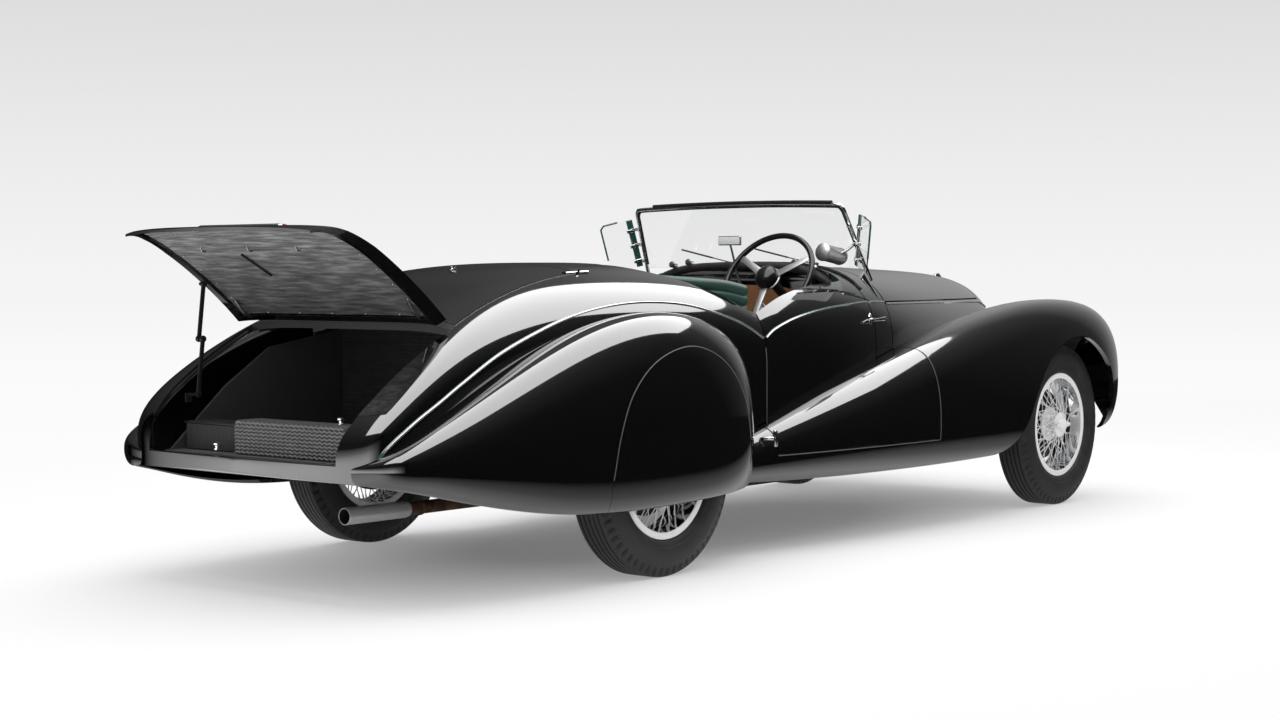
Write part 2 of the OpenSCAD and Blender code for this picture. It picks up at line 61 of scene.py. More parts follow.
def addCamera(setup):
    data = bpy.data.cameras.new("camera")
    data.lens, data.sensor_width, data.clip_end = setup["lens"], 36, 500
    camera = bpy.data.objects.new("camera", data)
    scene.collection.objects.link(camera)
    yaw, pitch = setup["yaw"], setup["pitch"]
    look = Vector((math.cos(pitch) * math.cos(yaw), math.cos(pitch) * math.sin(yaw), math.sin(pitch)))
    turn = look.to_track_quat("-Z", "Y").to_matrix().to_4x4()
    camera.matrix_world = Matrix.Translation(toMetres(setup["place"])) @ turn
    scene.camera = camera


addCamera(cameraSetup)


# shader sockets with operators
class Wire:
    def __init__(self, tree, socket):
        self.tree, self.socket = tree, socket

    def maths(self, operation, first, second):
        node = self.tree.nodes.new("ShaderNodeMath")
        node.operation = operation
        for plug, value in zip(node.inputs, (first, second)):
            if isinstance(value, Wire):
                self.tree.links.new(value.socket, plug)
            else:
                plug.default_value = value
        return Wire(self.tree, node.outputs[0])

    def __add__(self, other):
        return self.maths("ADD", self, other)

    def __sub__(self, other):
        return self.maths("SUBTRACT", self, other)

    def __rsub__(self, other):
        return self.maths("SUBTRACT", other, self)

    def __mul__(self, other):
        return self.maths("MULTIPLY", self, other)

    def __truediv__(self, other):
        return self.maths("DIVIDE", self, other)

    def __rtruediv__(self, other):
        return self.maths("DIVIDE", other, self)

    __radd__, __rmul__ = __add__, __mul__       # here the order makes no difference


class Finish:
    def __init__(self, owner, output):
        owner.use_nodes = True
        self.owner, self.tree = owner, owner.node_tree
        self.tree.nodes.clear()
        self.end = self.tree.nodes.new(output)

    def node(self, kind, settings=None, inputs=None, out=0):
        made = self.tree.nodes.new(kind)
        for name, value in (settings or {}).items():
            if name == "stops":
                ramp = made.color_ramp
                while len(ramp.elements) < len(value):
                    ramp.elements.new(1)
                for element, (position, colour) in zip(ramp.elements, value):
                    element.position, element.color = position, colour
            else:
                setattr(made, name, value)
        for name, value in (inputs or {}).items():
            if isinstance(value, Wire):
                self.tree.links.new(value.socket, made.inputs[name])
            else:
                made.inputs[name].default_value = value
        return Wire(self.tree, made.outputs[out])

    def close(self, wire):
        self.tree.links.new(wire.socket, self.end.inputs["Surface"])
        return self.owner

    def coords(self, scale=(1, 1, 1)):
        place = self.node("ShaderNodeTexCoord", out="Object")
        return self.node("ShaderNodeMapping", None, {"Vector": place, "Scale": scale})

    def axis(self, letter, place=None):
        return self.node("ShaderNodeSeparateXYZ", None, {0: place or self.coords()}, letter)

    def vector(self, operation, first, second=(0, 0, 0)):
        out = "Vector" if operation in ("ADD", "MULTIPLY", "NORMALIZE") else "Value"
        return self.node("ShaderNodeVectorMath", {"operation": operation}, {0: first, 1: second}, out)

    def noise(self, scale, detail=2.0, stretch=(1, 1, 1)):
        inputs = {"Vector": self.coords(stretch), "Scale": scale, "Detail": detail}
        return self.node("ShaderNodeTexNoise", None, inputs)

    def cells(self, scale):
        return self.node("ShaderNodeTexVoronoi", None, {"Vector": self.coords(), "Scale": scale}, "Distance")

    def mix(self, factor, first, second, blend="MIX"):
        settings = {"data_type": "RGBA", "blend_type": blend}
        return self.node("ShaderNodeMix", settings, {0: factor, 6: first, 7: second}, 2)

    def ramp(self, value, stops):
        return self.node("ShaderNodeValToRGB", {"stops": stops}, {0: value})

    def shade(self, value, levels):
        return self.ramp(value, [(at, grey(level)) for at, level in levels])

    def bump(self, height, strength, distance):
        inputs = {"Height": height, "Strength": strength, "Distance": distance}
        return self.node("ShaderNodeBump", None, inputs)

    def glow(self, colour, strength=1.0):
        return self.node("ShaderNodeEmission", None, {"Color": colour, "Strength": strength})

    def principled(self, inputs):
        return self.close(self.node("ShaderNodeBsdfPrincipled", None, inputs))


def startFinish(name):
    return Finish(bpy.data.materials.new(name), "ShaderNodeOutputMaterial")


def grey(level, warm=0.0):
    return (level * (1 + warm), level, level * (1 - warm), 1)


# finishes
def glossPaint(name, dark, light):
    f = startFinish(name)
    cloud = f.noise(3.0, 4.0)
    return f.principled({
        "Base Color": f.mix(cloud, dark, light), "Roughness": 0.07 + 0.04 * f.noise(40.0, 3.0),
        "Specular IOR Level": 0.5, "Coat Weight": 1.0, "Coat Roughness": 0.012, "Coat IOR": 1.9,
        "Normal": f.bump(f.noise(120.0, 0.0), 0.008, 0.0005)})


def plating(name, colour, rough, spread):
    f = startFinish(name)
    haze = f.noise(60.0, 4.0)
    return f.principled({"Base Color": f.mix(f.noise(14.0), colour, [c * 0.86 for c in colour[:3]] + [1]),
                         "Metallic": 1.0, "Roughness": rough + spread * haze})


def satin(name, dark, light, rough, scale, metal=0.0, depth=0.0004):
    f = startFinish(name)
    grain = f.noise(scale, 5.0)
    return f.principled({"Base Color": f.mix(f.noise(scale / 9, 4.0), dark, light), "Metallic": metal,
                         "Roughness": rough + 0.18 * grain, "Normal": f.bump(grain, 0.5, depth)})


def rubberFinish():
    f = startFinish("rubber")
    dust = f.noise(22.0, 5.0)
    grain = f.noise(900.0, 2.0)
    return f.principled({"Base Color": f.mix(dust, grey(0.014), grey(0.034, 0.03)),
                         "Roughness": 0.44 + 0.25 * dust, "Normal": f.bump(grain, 0.35, 0.0004)})


def hideFinish(name, dark, light, grainScale, rough):
    f = startFinish(name)
    grain, wear = f.cells(grainScale), f.noise(7.0, 5.0)
    creases = grain + 0.4 * f.noise(grainScale * 0.3)
    return f.principled({"Base Color": f.mix(wear, dark, light),
                         "Roughness": rough + 0.16 * f.noise(50.0, 3.0),
                         "Normal": f.bump(creases, 0.45, 0.0009)})


def leatherette():
    f = startFinish("leatherette")
    crease = f.noise(70.0, 8.0, (1.0, 0.14, 1.0))
    streak = f.shade(crease, [(0.3, 0.12), (0.5, 0.23), (0.7, 0.42)])
    # painted shade and light: the lining is darker down by the hinge and paler towards the open edge, where
    # more light reaches it
    rise = f.shade(f.axis("Z") - 0.7, [(0.2, 0.35), (0.36, 0.7), (0.56, 1.5)])     # paler further up
    return f.principled({"Base Color": f.mix(1.0, streak, rise, "MULTIPLY"), "Roughness": 0.34 + 0.3 * crease,
                         "Normal": f.bump(crease * 3.0 + f.cells(420.0), 0.5, 0.001)})


def carpetFinish():
    f = startFinish("carpet")
    pile = f.noise(700.0, 3.0)
    return f.principled({"Base Color": f.mix(pile, grey(0.006), grey(0.028)), "Roughness": 0.95,
                         "Sheen Weight": 0.3, "Normal": f.bump(pile, 0.9, 0.003)})


def woodFinish():
    f = startFinish("walnut")
    rings = f.node("ShaderNodeTexWave", {"wave_type": "BANDS", "bands_direction": "Z"},
                   {"Vector": f.coords((1, 0.12, 1)), "Scale": 70.0, "Distortion": 5.0, "Detail": 5.0})
    figure = f.ramp(rings, [(0.0, (0.17, 0.06, 0.02, 1)), (0.5, (0.26, 0.1, 0.036, 1)),
                            (1.0, (0.34, 0.15, 0.06, 1))])
    pores = f.noise(300.0, 3.0, (1, 0.1, 1))
    return f.principled({"Base Color": figure, "Roughness": 0.3 + 0.1 * rings, "Coat Weight": 0.7,
                         "Coat Roughness": 0.06, "Normal": f.bump(pores, 0.15, 0.0005)})


def clearGlass():
    f = startFinish("clear_glass")
    return f.principled({"Base Color": f.mix(f.noise(2.0), (0.955, 0.965, 0.96, 1), (0.97, 0.975, 0.972, 1)),
                         "Roughness": 0.0, "Transmission Weight": 1.0, "IOR": 1.45})


def rustPipe():
    f = startFinish("rusted_pipe")
    patch = f.noise(26.0, 6.0)
    flakes = f.ramp(patch, [(0.3, (0.03, 0.016, 0.01, 1)), (0.55, (0.11, 0.05, 0.026, 1)),
                            (0.75, (0.2, 0.1, 0.055, 1))])
    return f.principled({"Base Color": flakes, "Roughness": 0.55 + 0.3 * patch, "Metallic": 0.35,
                         "Normal": f.bump(patch, 0.5, 0.001)})


def dialFinish():
    f = startFinish("dial_face")
    age = f.noise(60.0, 4.0)
    return f.principled({"Base Color": f.mix(age, (0.62, 0.58, 0.47, 1), (0.72, 0.69, 0.6, 1)),
                         "Roughness": 0.35 + 0.1 * age})


paint = glossPaint("black_paint", (0.0011, 0.0011, 0.0014, 1), (0.0019, 0.0019, 0.0023, 1))
greenPaint = glossPaint("green_line", (0.012, 0.065, 0.052, 1), (0.02, 0.09, 0.072, 1))
chrome = plating("chrome", (0.82, 0.83, 0.85, 1), 0.035, 0.05)
silver = plating("bright_trim", (0.72, 0.74, 0.75, 1), 0.16, 0.1)
brushed = satin("brushed_metal", grey(0.42), grey(0.56), 0.34, 200.0, 1.0, 0.0001)
darkRail = satin("black_rail", grey(0.01), grey(0.02), 0.22, 80.0)
chassisPaint = satin("chassis_paint", grey(0.012), grey(0.026, 0.05), 0.42, 120.0)
castIron = satin("casting", grey(0.1), grey(0.2, 0.05), 0.5, 160.0, 0.6, 0.001)
steel = satin("steel", grey(0.28), grey(0.42), 0.3, 140.0, 0.9)
tipSteel = satin("tip_steel", grey(0.45), grey(0.6), 0.22, 140.0, 0.4, 0.0001)
rubber = rubberFinish()
greenHide = hideFinish("green_leather", (0.013, 0.044, 0.035, 1), (0.026, 0.075, 0.06, 1), 420.0, 0.3)
blackHide = hideFinish("black_leather", grey(0.01), grey(0.024), 420.0, 0.4)
lidLining = leatherette()
# the ribs of the boot pad: their own grey made paler, as a painted highlight
ribLiningPaintedHighlight = satin("ribbed_lining", grey(0.17), grey(0.3), 0.16, 300.0)
darkRibs = satin("dark_ribs", grey(0.03), grey(0.06), 0.26, 300.0)
# pale grey for the seam beads: painted highlight along the panel gaps
seamHighlightGrey = satin("seam", grey(0.1), grey(0.15), 0.3, 90.0)
# near-white silver for the wire wheels, mirror face and grille bars: their own silver finish made paler, a
# painted reflection of a bright surround
silverPaintedReflection = satin("wheel_silver", grey(0.88), grey(0.96), 0.16, 160.0, 0.1, 0.0001)
carpet = carpetFinish()
walnut = woodFinish()
glass = clearGlass()
rust = rustPipe()
dial = dialFinish()
bakelite = satin("bakelite", grey(0.006), grey(0.012), 0.1, 60.0, 0.0, 0.0001)
plateWhite = satin("plate_white", grey(0.6, 0.02), grey(0.72, 0.02), 0.3, 60.0)
lampRed = satin("lamp_red", (0.3, 0.01, 0.008, 1), (0.42, 0.02, 0.012, 1), 0.12, 90.0)
print("finishes ready")


# forms
sides = ((1, "left"), (-1, "right"))


def placed(bm, matrix):
    bmesh.ops.transform(bm, matrix=matrix, verts=bm.verts)
    return bm


def moved(bm, x, y, z):
    return placed(bm, Matrix.Translation((x, y, z)))


def turned(bm, degrees, letter):
    return placed(bm, Matrix.Rotation(math.radians(degrees), 4, letter))


def flipped(bm):
    placed(bm, Matrix.Diagonal((1, -1, 1, 1)))
    bmesh.ops.reverse_faces(bm, faces=bm.faces)
    return bm


def onSide(bm, side):
    return bm if side > 0 else flipped(bm)


def joined(*forms):
    whole = bmesh.new()
    for form in forms:
        passing = bpy.data.meshes.new("passing")
        form.to_mesh(passing)
        form.free()
        whole.from_mesh(passing)
        bpy.data.meshes.remove(passing)
    return whole


def coated(bm, index):
    for face in bm.faces:
        face.material_index = index
    return bm


def rounded(bm, offset, segments=3):
    bmesh.ops.bevel(bm, geom=bm.edges[:], offset=offset, affect="EDGES", segments=segments,
                    profile=0.5, material=-1)
    return bm


def block(low, high, bevel=0.0, segments=3):
    bm = bmesh.new()
    bmesh.ops.create_cube(bm, size=1)
    bmesh.ops.scale(bm, vec=[b - a for a, b in zip(low, high)], verts=bm.verts)
    bmesh.ops.translate(bm, vec=[(a + b) / 2 for a, b in zip(low, high)], verts=bm.verts)
    return rounded(bm, bevel, segments) if bevel else bm


def outward(bm):
    bmesh.ops.recalc_face_normals(bm, faces=bm.faces)
    if bm.calc_volume(signed=True) < 0:
        bmesh.ops.reverse_faces(bm, faces=bm.faces)
    return bm


def prism(points, depth, place):
    # a flat outline pushed along its depth; place turns (a, b, depth) into (x, y, z)
    bm = bmesh.new()
    face = bm.faces.new([bm.verts.new((a, b, 0)) for a, b in points])
    pushed = bmesh.ops.extrude_face_region(bm, geom=[face])["geom"]
    bmesh.ops.translate(bm, vec=(0, 0, depth), verts=[v for v in pushed if isinstance(v, bmesh.types.BMVert)])
    for vert in bm.verts:
        vert.co = place(*vert.co)
    return outward(bm)


def lathe(profile, steps=48, closed=False):
    bm = bmesh.new()
    verts = [bm.verts.new((r, 0, h)) for r, h in profile]
    edges = [bm.edges.new(pair) for pair in zip(verts, verts[1:] + verts[:1] if closed else verts[1:])]
    bmesh.ops.spin(bm, geom=verts + edges, cent=(0, 0, 0), axis=(0, 0, 1), angle=2 * math.pi, steps=steps,
                   use_merge=True)
    bmesh.ops.remove_doubles(bm, verts=bm.verts, dist=0.0001)
    return outward(bm)


def rod(start, end, radius, facets=10, tip=None):
    start, end = Vector(start), Vector(end)
    reach = end - start
    bm = bmesh.new()
    bmesh.ops.create_cone(bm, cap_ends=True, segments=facets, radius1=radius,
                          radius2=radius if tip is None else tip, depth=reach.length)
    turn = reach.to_track_quat("Z", "Y").to_matrix().to_4x4()
    return placed(bm, Matrix.Translation((start + end) / 2) @ turn)


def tube(points, radius, facets=3, closed=False):
    curve = bpy.data.curves.new("path", "CURVE")
    curve.dimensions, curve.bevel_depth = "3D", radius
    curve.bevel_resolution, curve.use_fill_caps = facets, True
    spline = curve.splines.new("POLY")
    spline.points.add(len(points) - 1)
    for knot, point in zip(spline.points, points):
        knot.co = (*point, 1)
    spline.use_cyclic_u = closed
    holder = bpy.data.objects.new("path", curve)
    mesh = bpy.data.meshes.new_from_object(holder)
    bm = bmesh.new()
    bm.from_mesh(mesh)
    bpy.data.objects.remove(holder)
    bpy.data.curves.remove(curve)
    bpy.data.meshes.remove(mesh)
    bmesh.ops.remove_doubles(bm, verts=bm.verts, dist=0.001)
    return outward(bm)


def quarter(k):
    return [math.pi / 2 * i / k for i in range(k + 1)]


def dome(radius, height, steps, rings):
    arc = [(max(radius * math.cos(a), 0), height * math.sin(a)) for a in quarter(rings)]
    return lathe(arc + [(0, 0), (radius, 0)], steps)


def flowing(points, steps=6):
    # smooth curve through the points
    count, out = len(points), []
    for i in range(count - 1):
        a, b, c, d = [Vector(points[max(0, min(count - 1, j))]) for j in range(i - 1, i + 3)]
        square, cube = 2 * a - 5 * b + 4 * c - d, 3 * b - a - 3 * c + d
        for k in range(steps):
            t = k / steps
            out.append(0.5 * (2 * b + (c - a) * t + square * t ** 2 + cube * t ** 3))
    return out + [Vector(points[-1])]


def addPiece(name, forms, body, finishes, nodes=(), angle=38):
    bm = joined(*forms) if isinstance(forms, (list, tuple)) else forms
    bmesh.ops.scale(bm, vec=(0.001, 0.001, 0.001), verts=bm.verts)
    bmesh.ops.translate(bm, vec=(midX, 0, 0), verts=bm.verts)
    mesh = bpy.data.meshes.new(name)
    bm.to_mesh(mesh)
    bm.free()
    for finish in finishes if isinstance(finishes, (list, tuple)) else [finishes]:
        mesh.materials.append(finish)
    mesh.shade_smooth()
    mesh.set_sharp_from_angle(angle=math.radians(angle))
    piece = bpy.data.objects.new(name, mesh)
    scene.collection.objects.link(piece)
    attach(piece, body)
    if nodes:
        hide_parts(*nodes)
    return piece


def dress(node, finish):
    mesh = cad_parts[node].data
    mesh.materials.clear()
    mesh.materials.append(finish)


# body lines: hull rows are x, half width, low edge, shoulder, crown, squareness
foreRows = [
    (-680, 664, 300, 650, 1040, 3.2), (-610, 664, 300, 660, 1070, 3.2), (-420, 662, 300, 680, 1098, 3.4),
    (0, 652, 300, 690, 1104, 3.4), (300, 626, 330, 690, 1096, 3.2), (700, 556, 470, 690, 1084, 2.9),
    (1100, 466, 620, 690, 1076, 2.6), (1450, 372, 620, 690, 1062, 2.4), (1700, 300, 460, 690, 1030, 2.3),
    (1800, 250, 360, 690, 960, 2.2), (1812, 205, 330, 690, 880, 2.2)]
tailRows = [
    (-680, 664, 300, 650, 1040, 3.2), (-790, 660, 310, 660, 1068, 3.2), (-980, 648, 330, 670, 1094, 3.2),
    (-1300, 632, 350, 680, 1102, 3.2), (-1700, 622, 350, 650, 1084, 3.4), (-2000, 624, 350, 570, 998, 4.2),
    (-2240, 634, 356, 500, 880, 6.2), (-2440, 642, 366, 450, 756, 8.4), (-2570, 640, 384, 434, 664, 8),
    (-2650, 604, 396, 428, 590, 6.4), (-2688, 510, 403, 426, 532, 5), (-2701, 360, 408, 426, 488, 4),
    (-2709, 160, 412, 426, 462, 3), (-2711, 20, 414, 426, 452, 2.6)]
# wing rows are x, low y, outer y, crown y, inner y, low z, widest z, crown z, valley z
frontWingRows = [
    (2072, 680, 700, 676, 640, 520, 575, 625, 585), (2074, 680, 745, 684, 590, 410, 560, 715, 620),
    (2014, 730, 800, 694, 530, 345, 545, 815, 660), (1820, 790, 858, 704, 440, 330, 522, 922, 690),
    (1450, 810, 870, 704, 340, 300, 500, 950, 720), (1120, 808, 868, 698, 420, 280, 480, 922, 770),
    (720, 800, 860, 690, 520, 268, 450, 848, 800), (280, 786, 850, 676, 610, 262, 420, 752, 745),
    (-200, 756, 826, 664, 648, 262, 390, 634, 628), (-600, 716, 786, 678, 640, 266, 370, 520, 512),
    (-893, 690, 736, 678, 636, 278, 350, 432, 422)]
rearWingRows = [
    (-900, 680, 690, 650, 600, 290, 400, 520, 470), (-905, 730, 760, 670, 600, 284, 420, 690, 600),
    (-980, 796, 836, 690, 600, 276, 450, 820, 740), (-1180, 838, 868, 705, 600, 266, 480, 905, 850),
    (-1450, 838, 876, 712, 596, 256, 480, 934, 890), (-1750, 826, 866, 706, 590, 250, 470, 884, 850),
    (-2050, 790, 840, 694, 590, 268, 450, 770, 738), (-2330, 736, 800, 684, 590, 320, 440, 640, 615),
    (-2500, 690, 752, 672, 590, 362, 445, 558, 540), (-2590, 672, 726, 668, 592, 382, 447, 516, 500),
    (-2640, 634, 684, 644, 580, 392, 446, 484, 470), (-2668, 572, 616, 584, 530, 399, 444, 462, 452),
    (-2680, 490, 524, 500, 460, 406, 442, 450, 446), (-2680, 420, 444, 430, 410, 414, 440, 444, 442)]


def stationAt(rows, u):
    s = u * (len(rows) + 1)
    k = min(int(s), len(rows))
    f = s - k
    share = ((1 - f) ** 3 / 6, (3 * f ** 3 - 6 * f * f + 4) / 6,
             (-3 * f ** 3 + 3 * f * f + 3 * f + 1) / 6, f ** 3 / 6)
    near = [rows[max(0, min(len(rows) - 1, k - 2 + j))] for j in range(4)]
    return [sum(w * row[i] for w, row in zip(share, near)) for i in range(len(rows[0]))]


def stationNear(rows, x):
    low, high = 0.0, 1.0
    rising = rows[-1][0] > rows[0][0]
    for _ in range(40):
        middle = (low + high) / 2
        if (stationAt(rows, middle)[0] < x) == rising:
            low = middle
        else:
            high = middle
    return stationAt(rows, (low + high) / 2)


def hullSide(rows, x, z):
    _, w, _, s, c, n = stationNear(rows, x)
    return w if z <= s else w * max(0.0, 1 - min(1, (z - s) / (c - s)) ** n) ** (1 / n)


def hullTop(rows, x, y):
    _, w, _, s, c, n = stationNear(rows, x)
    return s + (c - s) * max(0.0, 1 - min(1, abs(y) / w) ** n) ** (1 / n)


def hullLoop(r, t, k):
    w, s, c, p = r[1] - t, r[3], r[4] - t, 2 / r[5]
    arc = [(w * max(0.0, math.cos(a)) ** p, s + (c - s) * math.sin(a) ** p) for a in quarter(k)]
    half = [(w, r[2] - t * 4)] + arc
    return half + [(-y, z) for y, z in half[-2::-1]]


def wingLoop(r, t, k):
    low, o, c, inner, zl, zm, zc, zv = r[1] - t, r[2] - t, r[3], r[4] + t, r[5], r[6], r[7] - t, r[8] - t
    loop = [(low + (o - low) * math.sin(a), zm - (zm - zl) * math.cos(a)) for a in quarter(k)]
    loop += [(c + (o - c) * max(0.0, math.cos(a)) ** 0.8, zm + (zc - zm) * math.sin(a) ** 0.8)
             for a in quarter(k + 2)[1:]]
    loop += [(c - (c - inner) * math.sin(a), zv + (zc - zv) * math.cos(a)) for a in quarter(k)[1:]]
    return [(low, zl - 260)] + loop + [(inner, zl - 260)] if t > 0 else loop


def loft(rows, loopOf, t=0, start=0.0, stop=1.0, steps=40, k=10, nose=()):
    loops = []
    for i in range(steps + 1):
        r = stationAt(rows, start + (stop - start) * i / steps)
        loops.append([(r[0], y, z) for y, z in loopOf(r, t, k)])
    first = loops[0]
    middle = Vector([sum(p[i] for p in first) / len(first) for i in range(3)])
    for push, size in nose:     # rounds off the first end
        loops.insert(0, [(middle.x + push, middle.y + (y - middle.y) * size, middle.z + (z - middle.z) * size)
                         for _, y, z in first])
    count = len(loops[0])
    bm = bmesh.new()
    bmesh.ops.create_grid(bm, x_segments=len(loops) - 1, y_segments=count, size=1)
    for vert in bm.verts:
        i = round((vert.co.x + 1) / 2 * (len(loops) - 1))
        vert.co = loops[i][round((vert.co.y + 1) / 2 * count) % count]
    bmesh.ops.remove_doubles(bm, verts=bm.verts, dist=0.0005)
    bmesh.ops.holes_fill(bm, edges=[e for e in bm.edges if e.is_boundary], sides=0)
    return outward(bm)


# closed forms: - cuts one out of another, & keeps what two share and | joins them
class Solid:
    def __init__(self, bm):
        self.mesh = bpy.data.meshes.new("solid")
        bm.to_mesh(self.mesh)
        bm.free()

    def combined(self, other, operation):
        pair = [bpy.data.objects.new("solid", s.mesh) for s in (self, other)]
        for item in pair:
            scene.collection.objects.link(item)
        cut = pair[0].modifiers.new("cut", "BOOLEAN")
        cut.object, cut.operation, cut.solver = pair[1], operation, "MANIFOLD"
        made = bpy.data.meshes.new_from_object(pair[0].evaluated_get(bpy.context.evaluated_depsgraph_get()))
        for item in pair:
            bpy.data.objects.remove(item)
        out = Solid.__new__(Solid)
        out.mesh = made
        return out

    def __sub__(self, other):
        return self.combined(other, "DIFFERENCE")

    def __and__(self, other):
        return self.combined(other, "INTERSECT")

    def __or__(self, other):
        return self.combined(other, "UNION")

    def form(self):
        bm = bmesh.new()
        bm.from_mesh(self.mesh)
        bmesh.ops.dissolve_degenerate(bm, dist=0.02, edges=bm.edges)
        return bm


# what the panels share with the solids: wall, gaps, pins, seams and hinge lines
panels = {"wall": 22, "gap": 6, "doorWall": 64, "doorFoot": 380, "doorRear": -740, "doorPin": (-790, 782),
          "doorReach": 915, "wingReach": 1072, "bonnetSeam": 940, "cowlFront": 268, "noseSeam": 1600,
          "lidHalf": 495, "lidRim": 24, "lidOpen": 68, "lidHinge": (-2200, 893),
          "coverHalf": 405, "coverHinge": -1484}
wall, gap = panels["wall"], panels["gap"]


def box(x0, y0, z0, x1, y1, z1):
    return Solid(block((x0, y0, z0), (x1, y1, z1)))


def doorZone(reach, extra):
    x, y = panels["doorPin"]
    bm = bmesh.new()
    bmesh.ops.create_cone(bm, cap_ends=True, segments=180, radius1=reach + extra, radius2=reach + extra,
                          depth=1200)
    return Solid(moved(bm, x, y, panels["doorFoot"] - extra + 600))


def plan(points, low, high):
    return Solid(prism(points, high - low, lambda a, b, d: (a, b, low + d)))


def profile(points, near, far):
    return Solid(prism(points, far - near, lambda a, b, d: (a, near + d, b)))


def bootZone(extra):
    half, front = panels["lidHalf"] + extra, panels["lidHinge"][0] - 22 + extra
    edge = [(front, half), (-2560, half), (-2640, half - 12), (-2720 - extra, half - 50)]
    return plan(edge + [(x, -y) for x, y in edge[::-1]], 462 - extra, 1162)


def coverZone(extra):
    front, rear = panels["coverHinge"] - 10 + extra, panels["lidHinge"][0] + 20 - extra
    a, b = panels["coverHalf"] + extra, panels["lidHalf"] - 6 + extra
    return plan([(front, -a), (front, a), (rear, b), (rear, -b)], 640, 1340)


def bonnetZone(extra):
    rear, front = panels["cowlFront"] - extra + 4, panels["noseSeam"] + extra
    return box(rear, -700, panels["bonnetSeam"] - extra, front, 700, 1300)


def spread(points, extra):
    # moves an outline outwards from its middle
    middle = Vector((sum(p[0] for p in points) / len(points), sum(p[1] for p in points) / len(points)))
    return [tuple(Vector(p) + (Vector(p) - middle).normalized() * extra) for p in points]


cockpitEdge = [(60, 440), (42, 492), (0, 526), (-220, 552), (-500, 588), (-680, 604), (-790, 568),
               (-920, 515), (-1050, 435), (-1130, 340), (-1180, 200), (-1195, 70)]
cockpitHalf = flowing(cockpitEdge, 5)
cockpitLoop = cockpitHalf + [Vector((x, -y)) for x, y in cockpitHalf[::-1]]
spatEdge = [(-1806, 200), (-1808, 370), (-1780, 505), (-1716, 640), (-1600, 740), (-1450, 793), (-1310, 795),
            (-1165, 734), (-1062, 610), (-1014, 455), (-1000, 200)]
archEdge = [(1806, 180), (1824, 395), (1866, 460), (1872, 520), (1845, 600), (1790, 660), (1700, 720),
            (1600, 762), (1500, 772), (1380, 756), (1260, 705), (1160, 630), (1075, 525), (1010, 415),
            (930, 330), (820, 280), (640, 250), (560, 180)]

fore = Solid(loft(foreRows, hullLoop, 0, steps=110, k=26))
foreInner = Solid(loft(foreRows, hullLoop, wall, steps=60, k=14))
foreGrown = Solid(loft(foreRows, hullLoop, -gap, steps=60, k=18))
tail = Solid(loft(tailRows, hullLoop, 0, steps=150, k=30))
tailInner = Solid(loft(tailRows, hullLoop, wall, steps=80, k=18))
tailGrown = Solid(loft(tailRows, hullLoop, -gap, steps=60, k=18))
frontWing = Solid(loft(frontWingRows, wingLoop, 0, steps=170, k=14, nose=((5, 0.86), (9, 0.6), (10.5, 0.25))))
frontWingInner = Solid(loft(frontWingRows, wingLoop, wall, steps=80, k=8))
rearWing = Solid(loft(rearWingRows, wingLoop, 0, steps=170, k=14))
rearWingInner = Solid(loft(rearWingRows, wingLoop, wall, 0.03, 0.97, steps=80, k=8))
rearWingGrown = Solid(loft(rearWingRows, wingLoop, -4, steps=80, k=8))
cockpit = plan(cockpitLoop, 600, 1500)
wheelRoom = lathe([(0, -200), (hubZ + 14, -200), (hubZ + 14, 200), (0, 200)], 96)
wheelRoom = Solid(moved(turned(wheelRoom, 90, "X"), 1450, 612, hubZ))
grilleOval = [(150 * math.cos(a / 36 * math.pi), 616 + 220 * math.sin(a / 36 * math.pi)) for a in range(72)]
print("lofts ready")

noseRoom = Solid(loft(foreRows, hullLoop, wall, 0, 0.985, steps=60, k=14))
noseRoom = noseRoom - box(1786, -900, 0, 2100, 900, 1300)
grilleRoom = Solid(prism(grilleOval, 200, lambda a, b, d: (1700 + d, a, b)))
frontBody = fore & box(panels["cowlFront"] + 3, -900, 0, 2000, 900, 1300)
frontBody = frontBody - noseRoom - bonnetZone(3) - grilleRoom
addPiece("nose_shell", frontBody.form(), "body", paint, ["front_body"])

cowlShell = (fore & box(-672, -900, 300, panels["cowlFront"] - 3, 900, 1300)) - foreInner - cockpit
doorRoom = doorZone(panels["doorReach"], gap) & box(-900, 300, 0, 400, 1000, 1300)
doorRoom = doorRoom | Solid(flipped(doorRoom.form()))
addPiece("cowl_shell", (cowlShell - doorRoom).form(), "body", paint, ["cowl"])

fenderRoom = frontWingInner - box(-1200, 0, 0, 250, 1000, 372) - box(2006, 0, 0, 2300, 1000, 1200)
fender = frontWing - fenderRoom - fore
fender = fender - profile(flowing(archEdge, 5), 480, 1100) - wheelRoom
fender = fender - (doorZone(panels["wingReach"], gap) & box(panels["doorRear"] - gap, 0, 0, 400, 1000, 1300))
fender = fender - tail - rearWingGrown

upperDoor = fore - Solid(loft(foreRows, hullLoop, panels["doorWall"], steps=60, k=14)) - cockpit
upperDoor = upperDoor & doorZone(panels["doorReach"], 0) & box(-674, 300, 0, 400, 900, 1300)
doorSpan = box(panels["doorRear"], 672, 0, 400, 1000, 1300) | box(-674, 300, 0, 400, 1000, 1300)
lowerDoor = frontWing - (foreGrown - doorZone(panels["doorReach"], -2)) - tailGrown
lowerDoor = lowerDoor & doorZone(panels["wingReach"], 0) & doorSpan
door = upperDoor | lowerDoor

bonnetRoom = Solid(loft(foreRows, hullLoop, wall - 6, steps=60, k=14))
bonnet = (fore & bonnetZone(-3) & box(0, 3, 0, 2000, 900, 1300)) - bonnetRoom

tailRoom = tailInner - box(-3000, -900, 0, -2664, 900, 1300)
tailShell = tail - tailRoom - cockpit - coverZone(gap) - bootZone(gap)


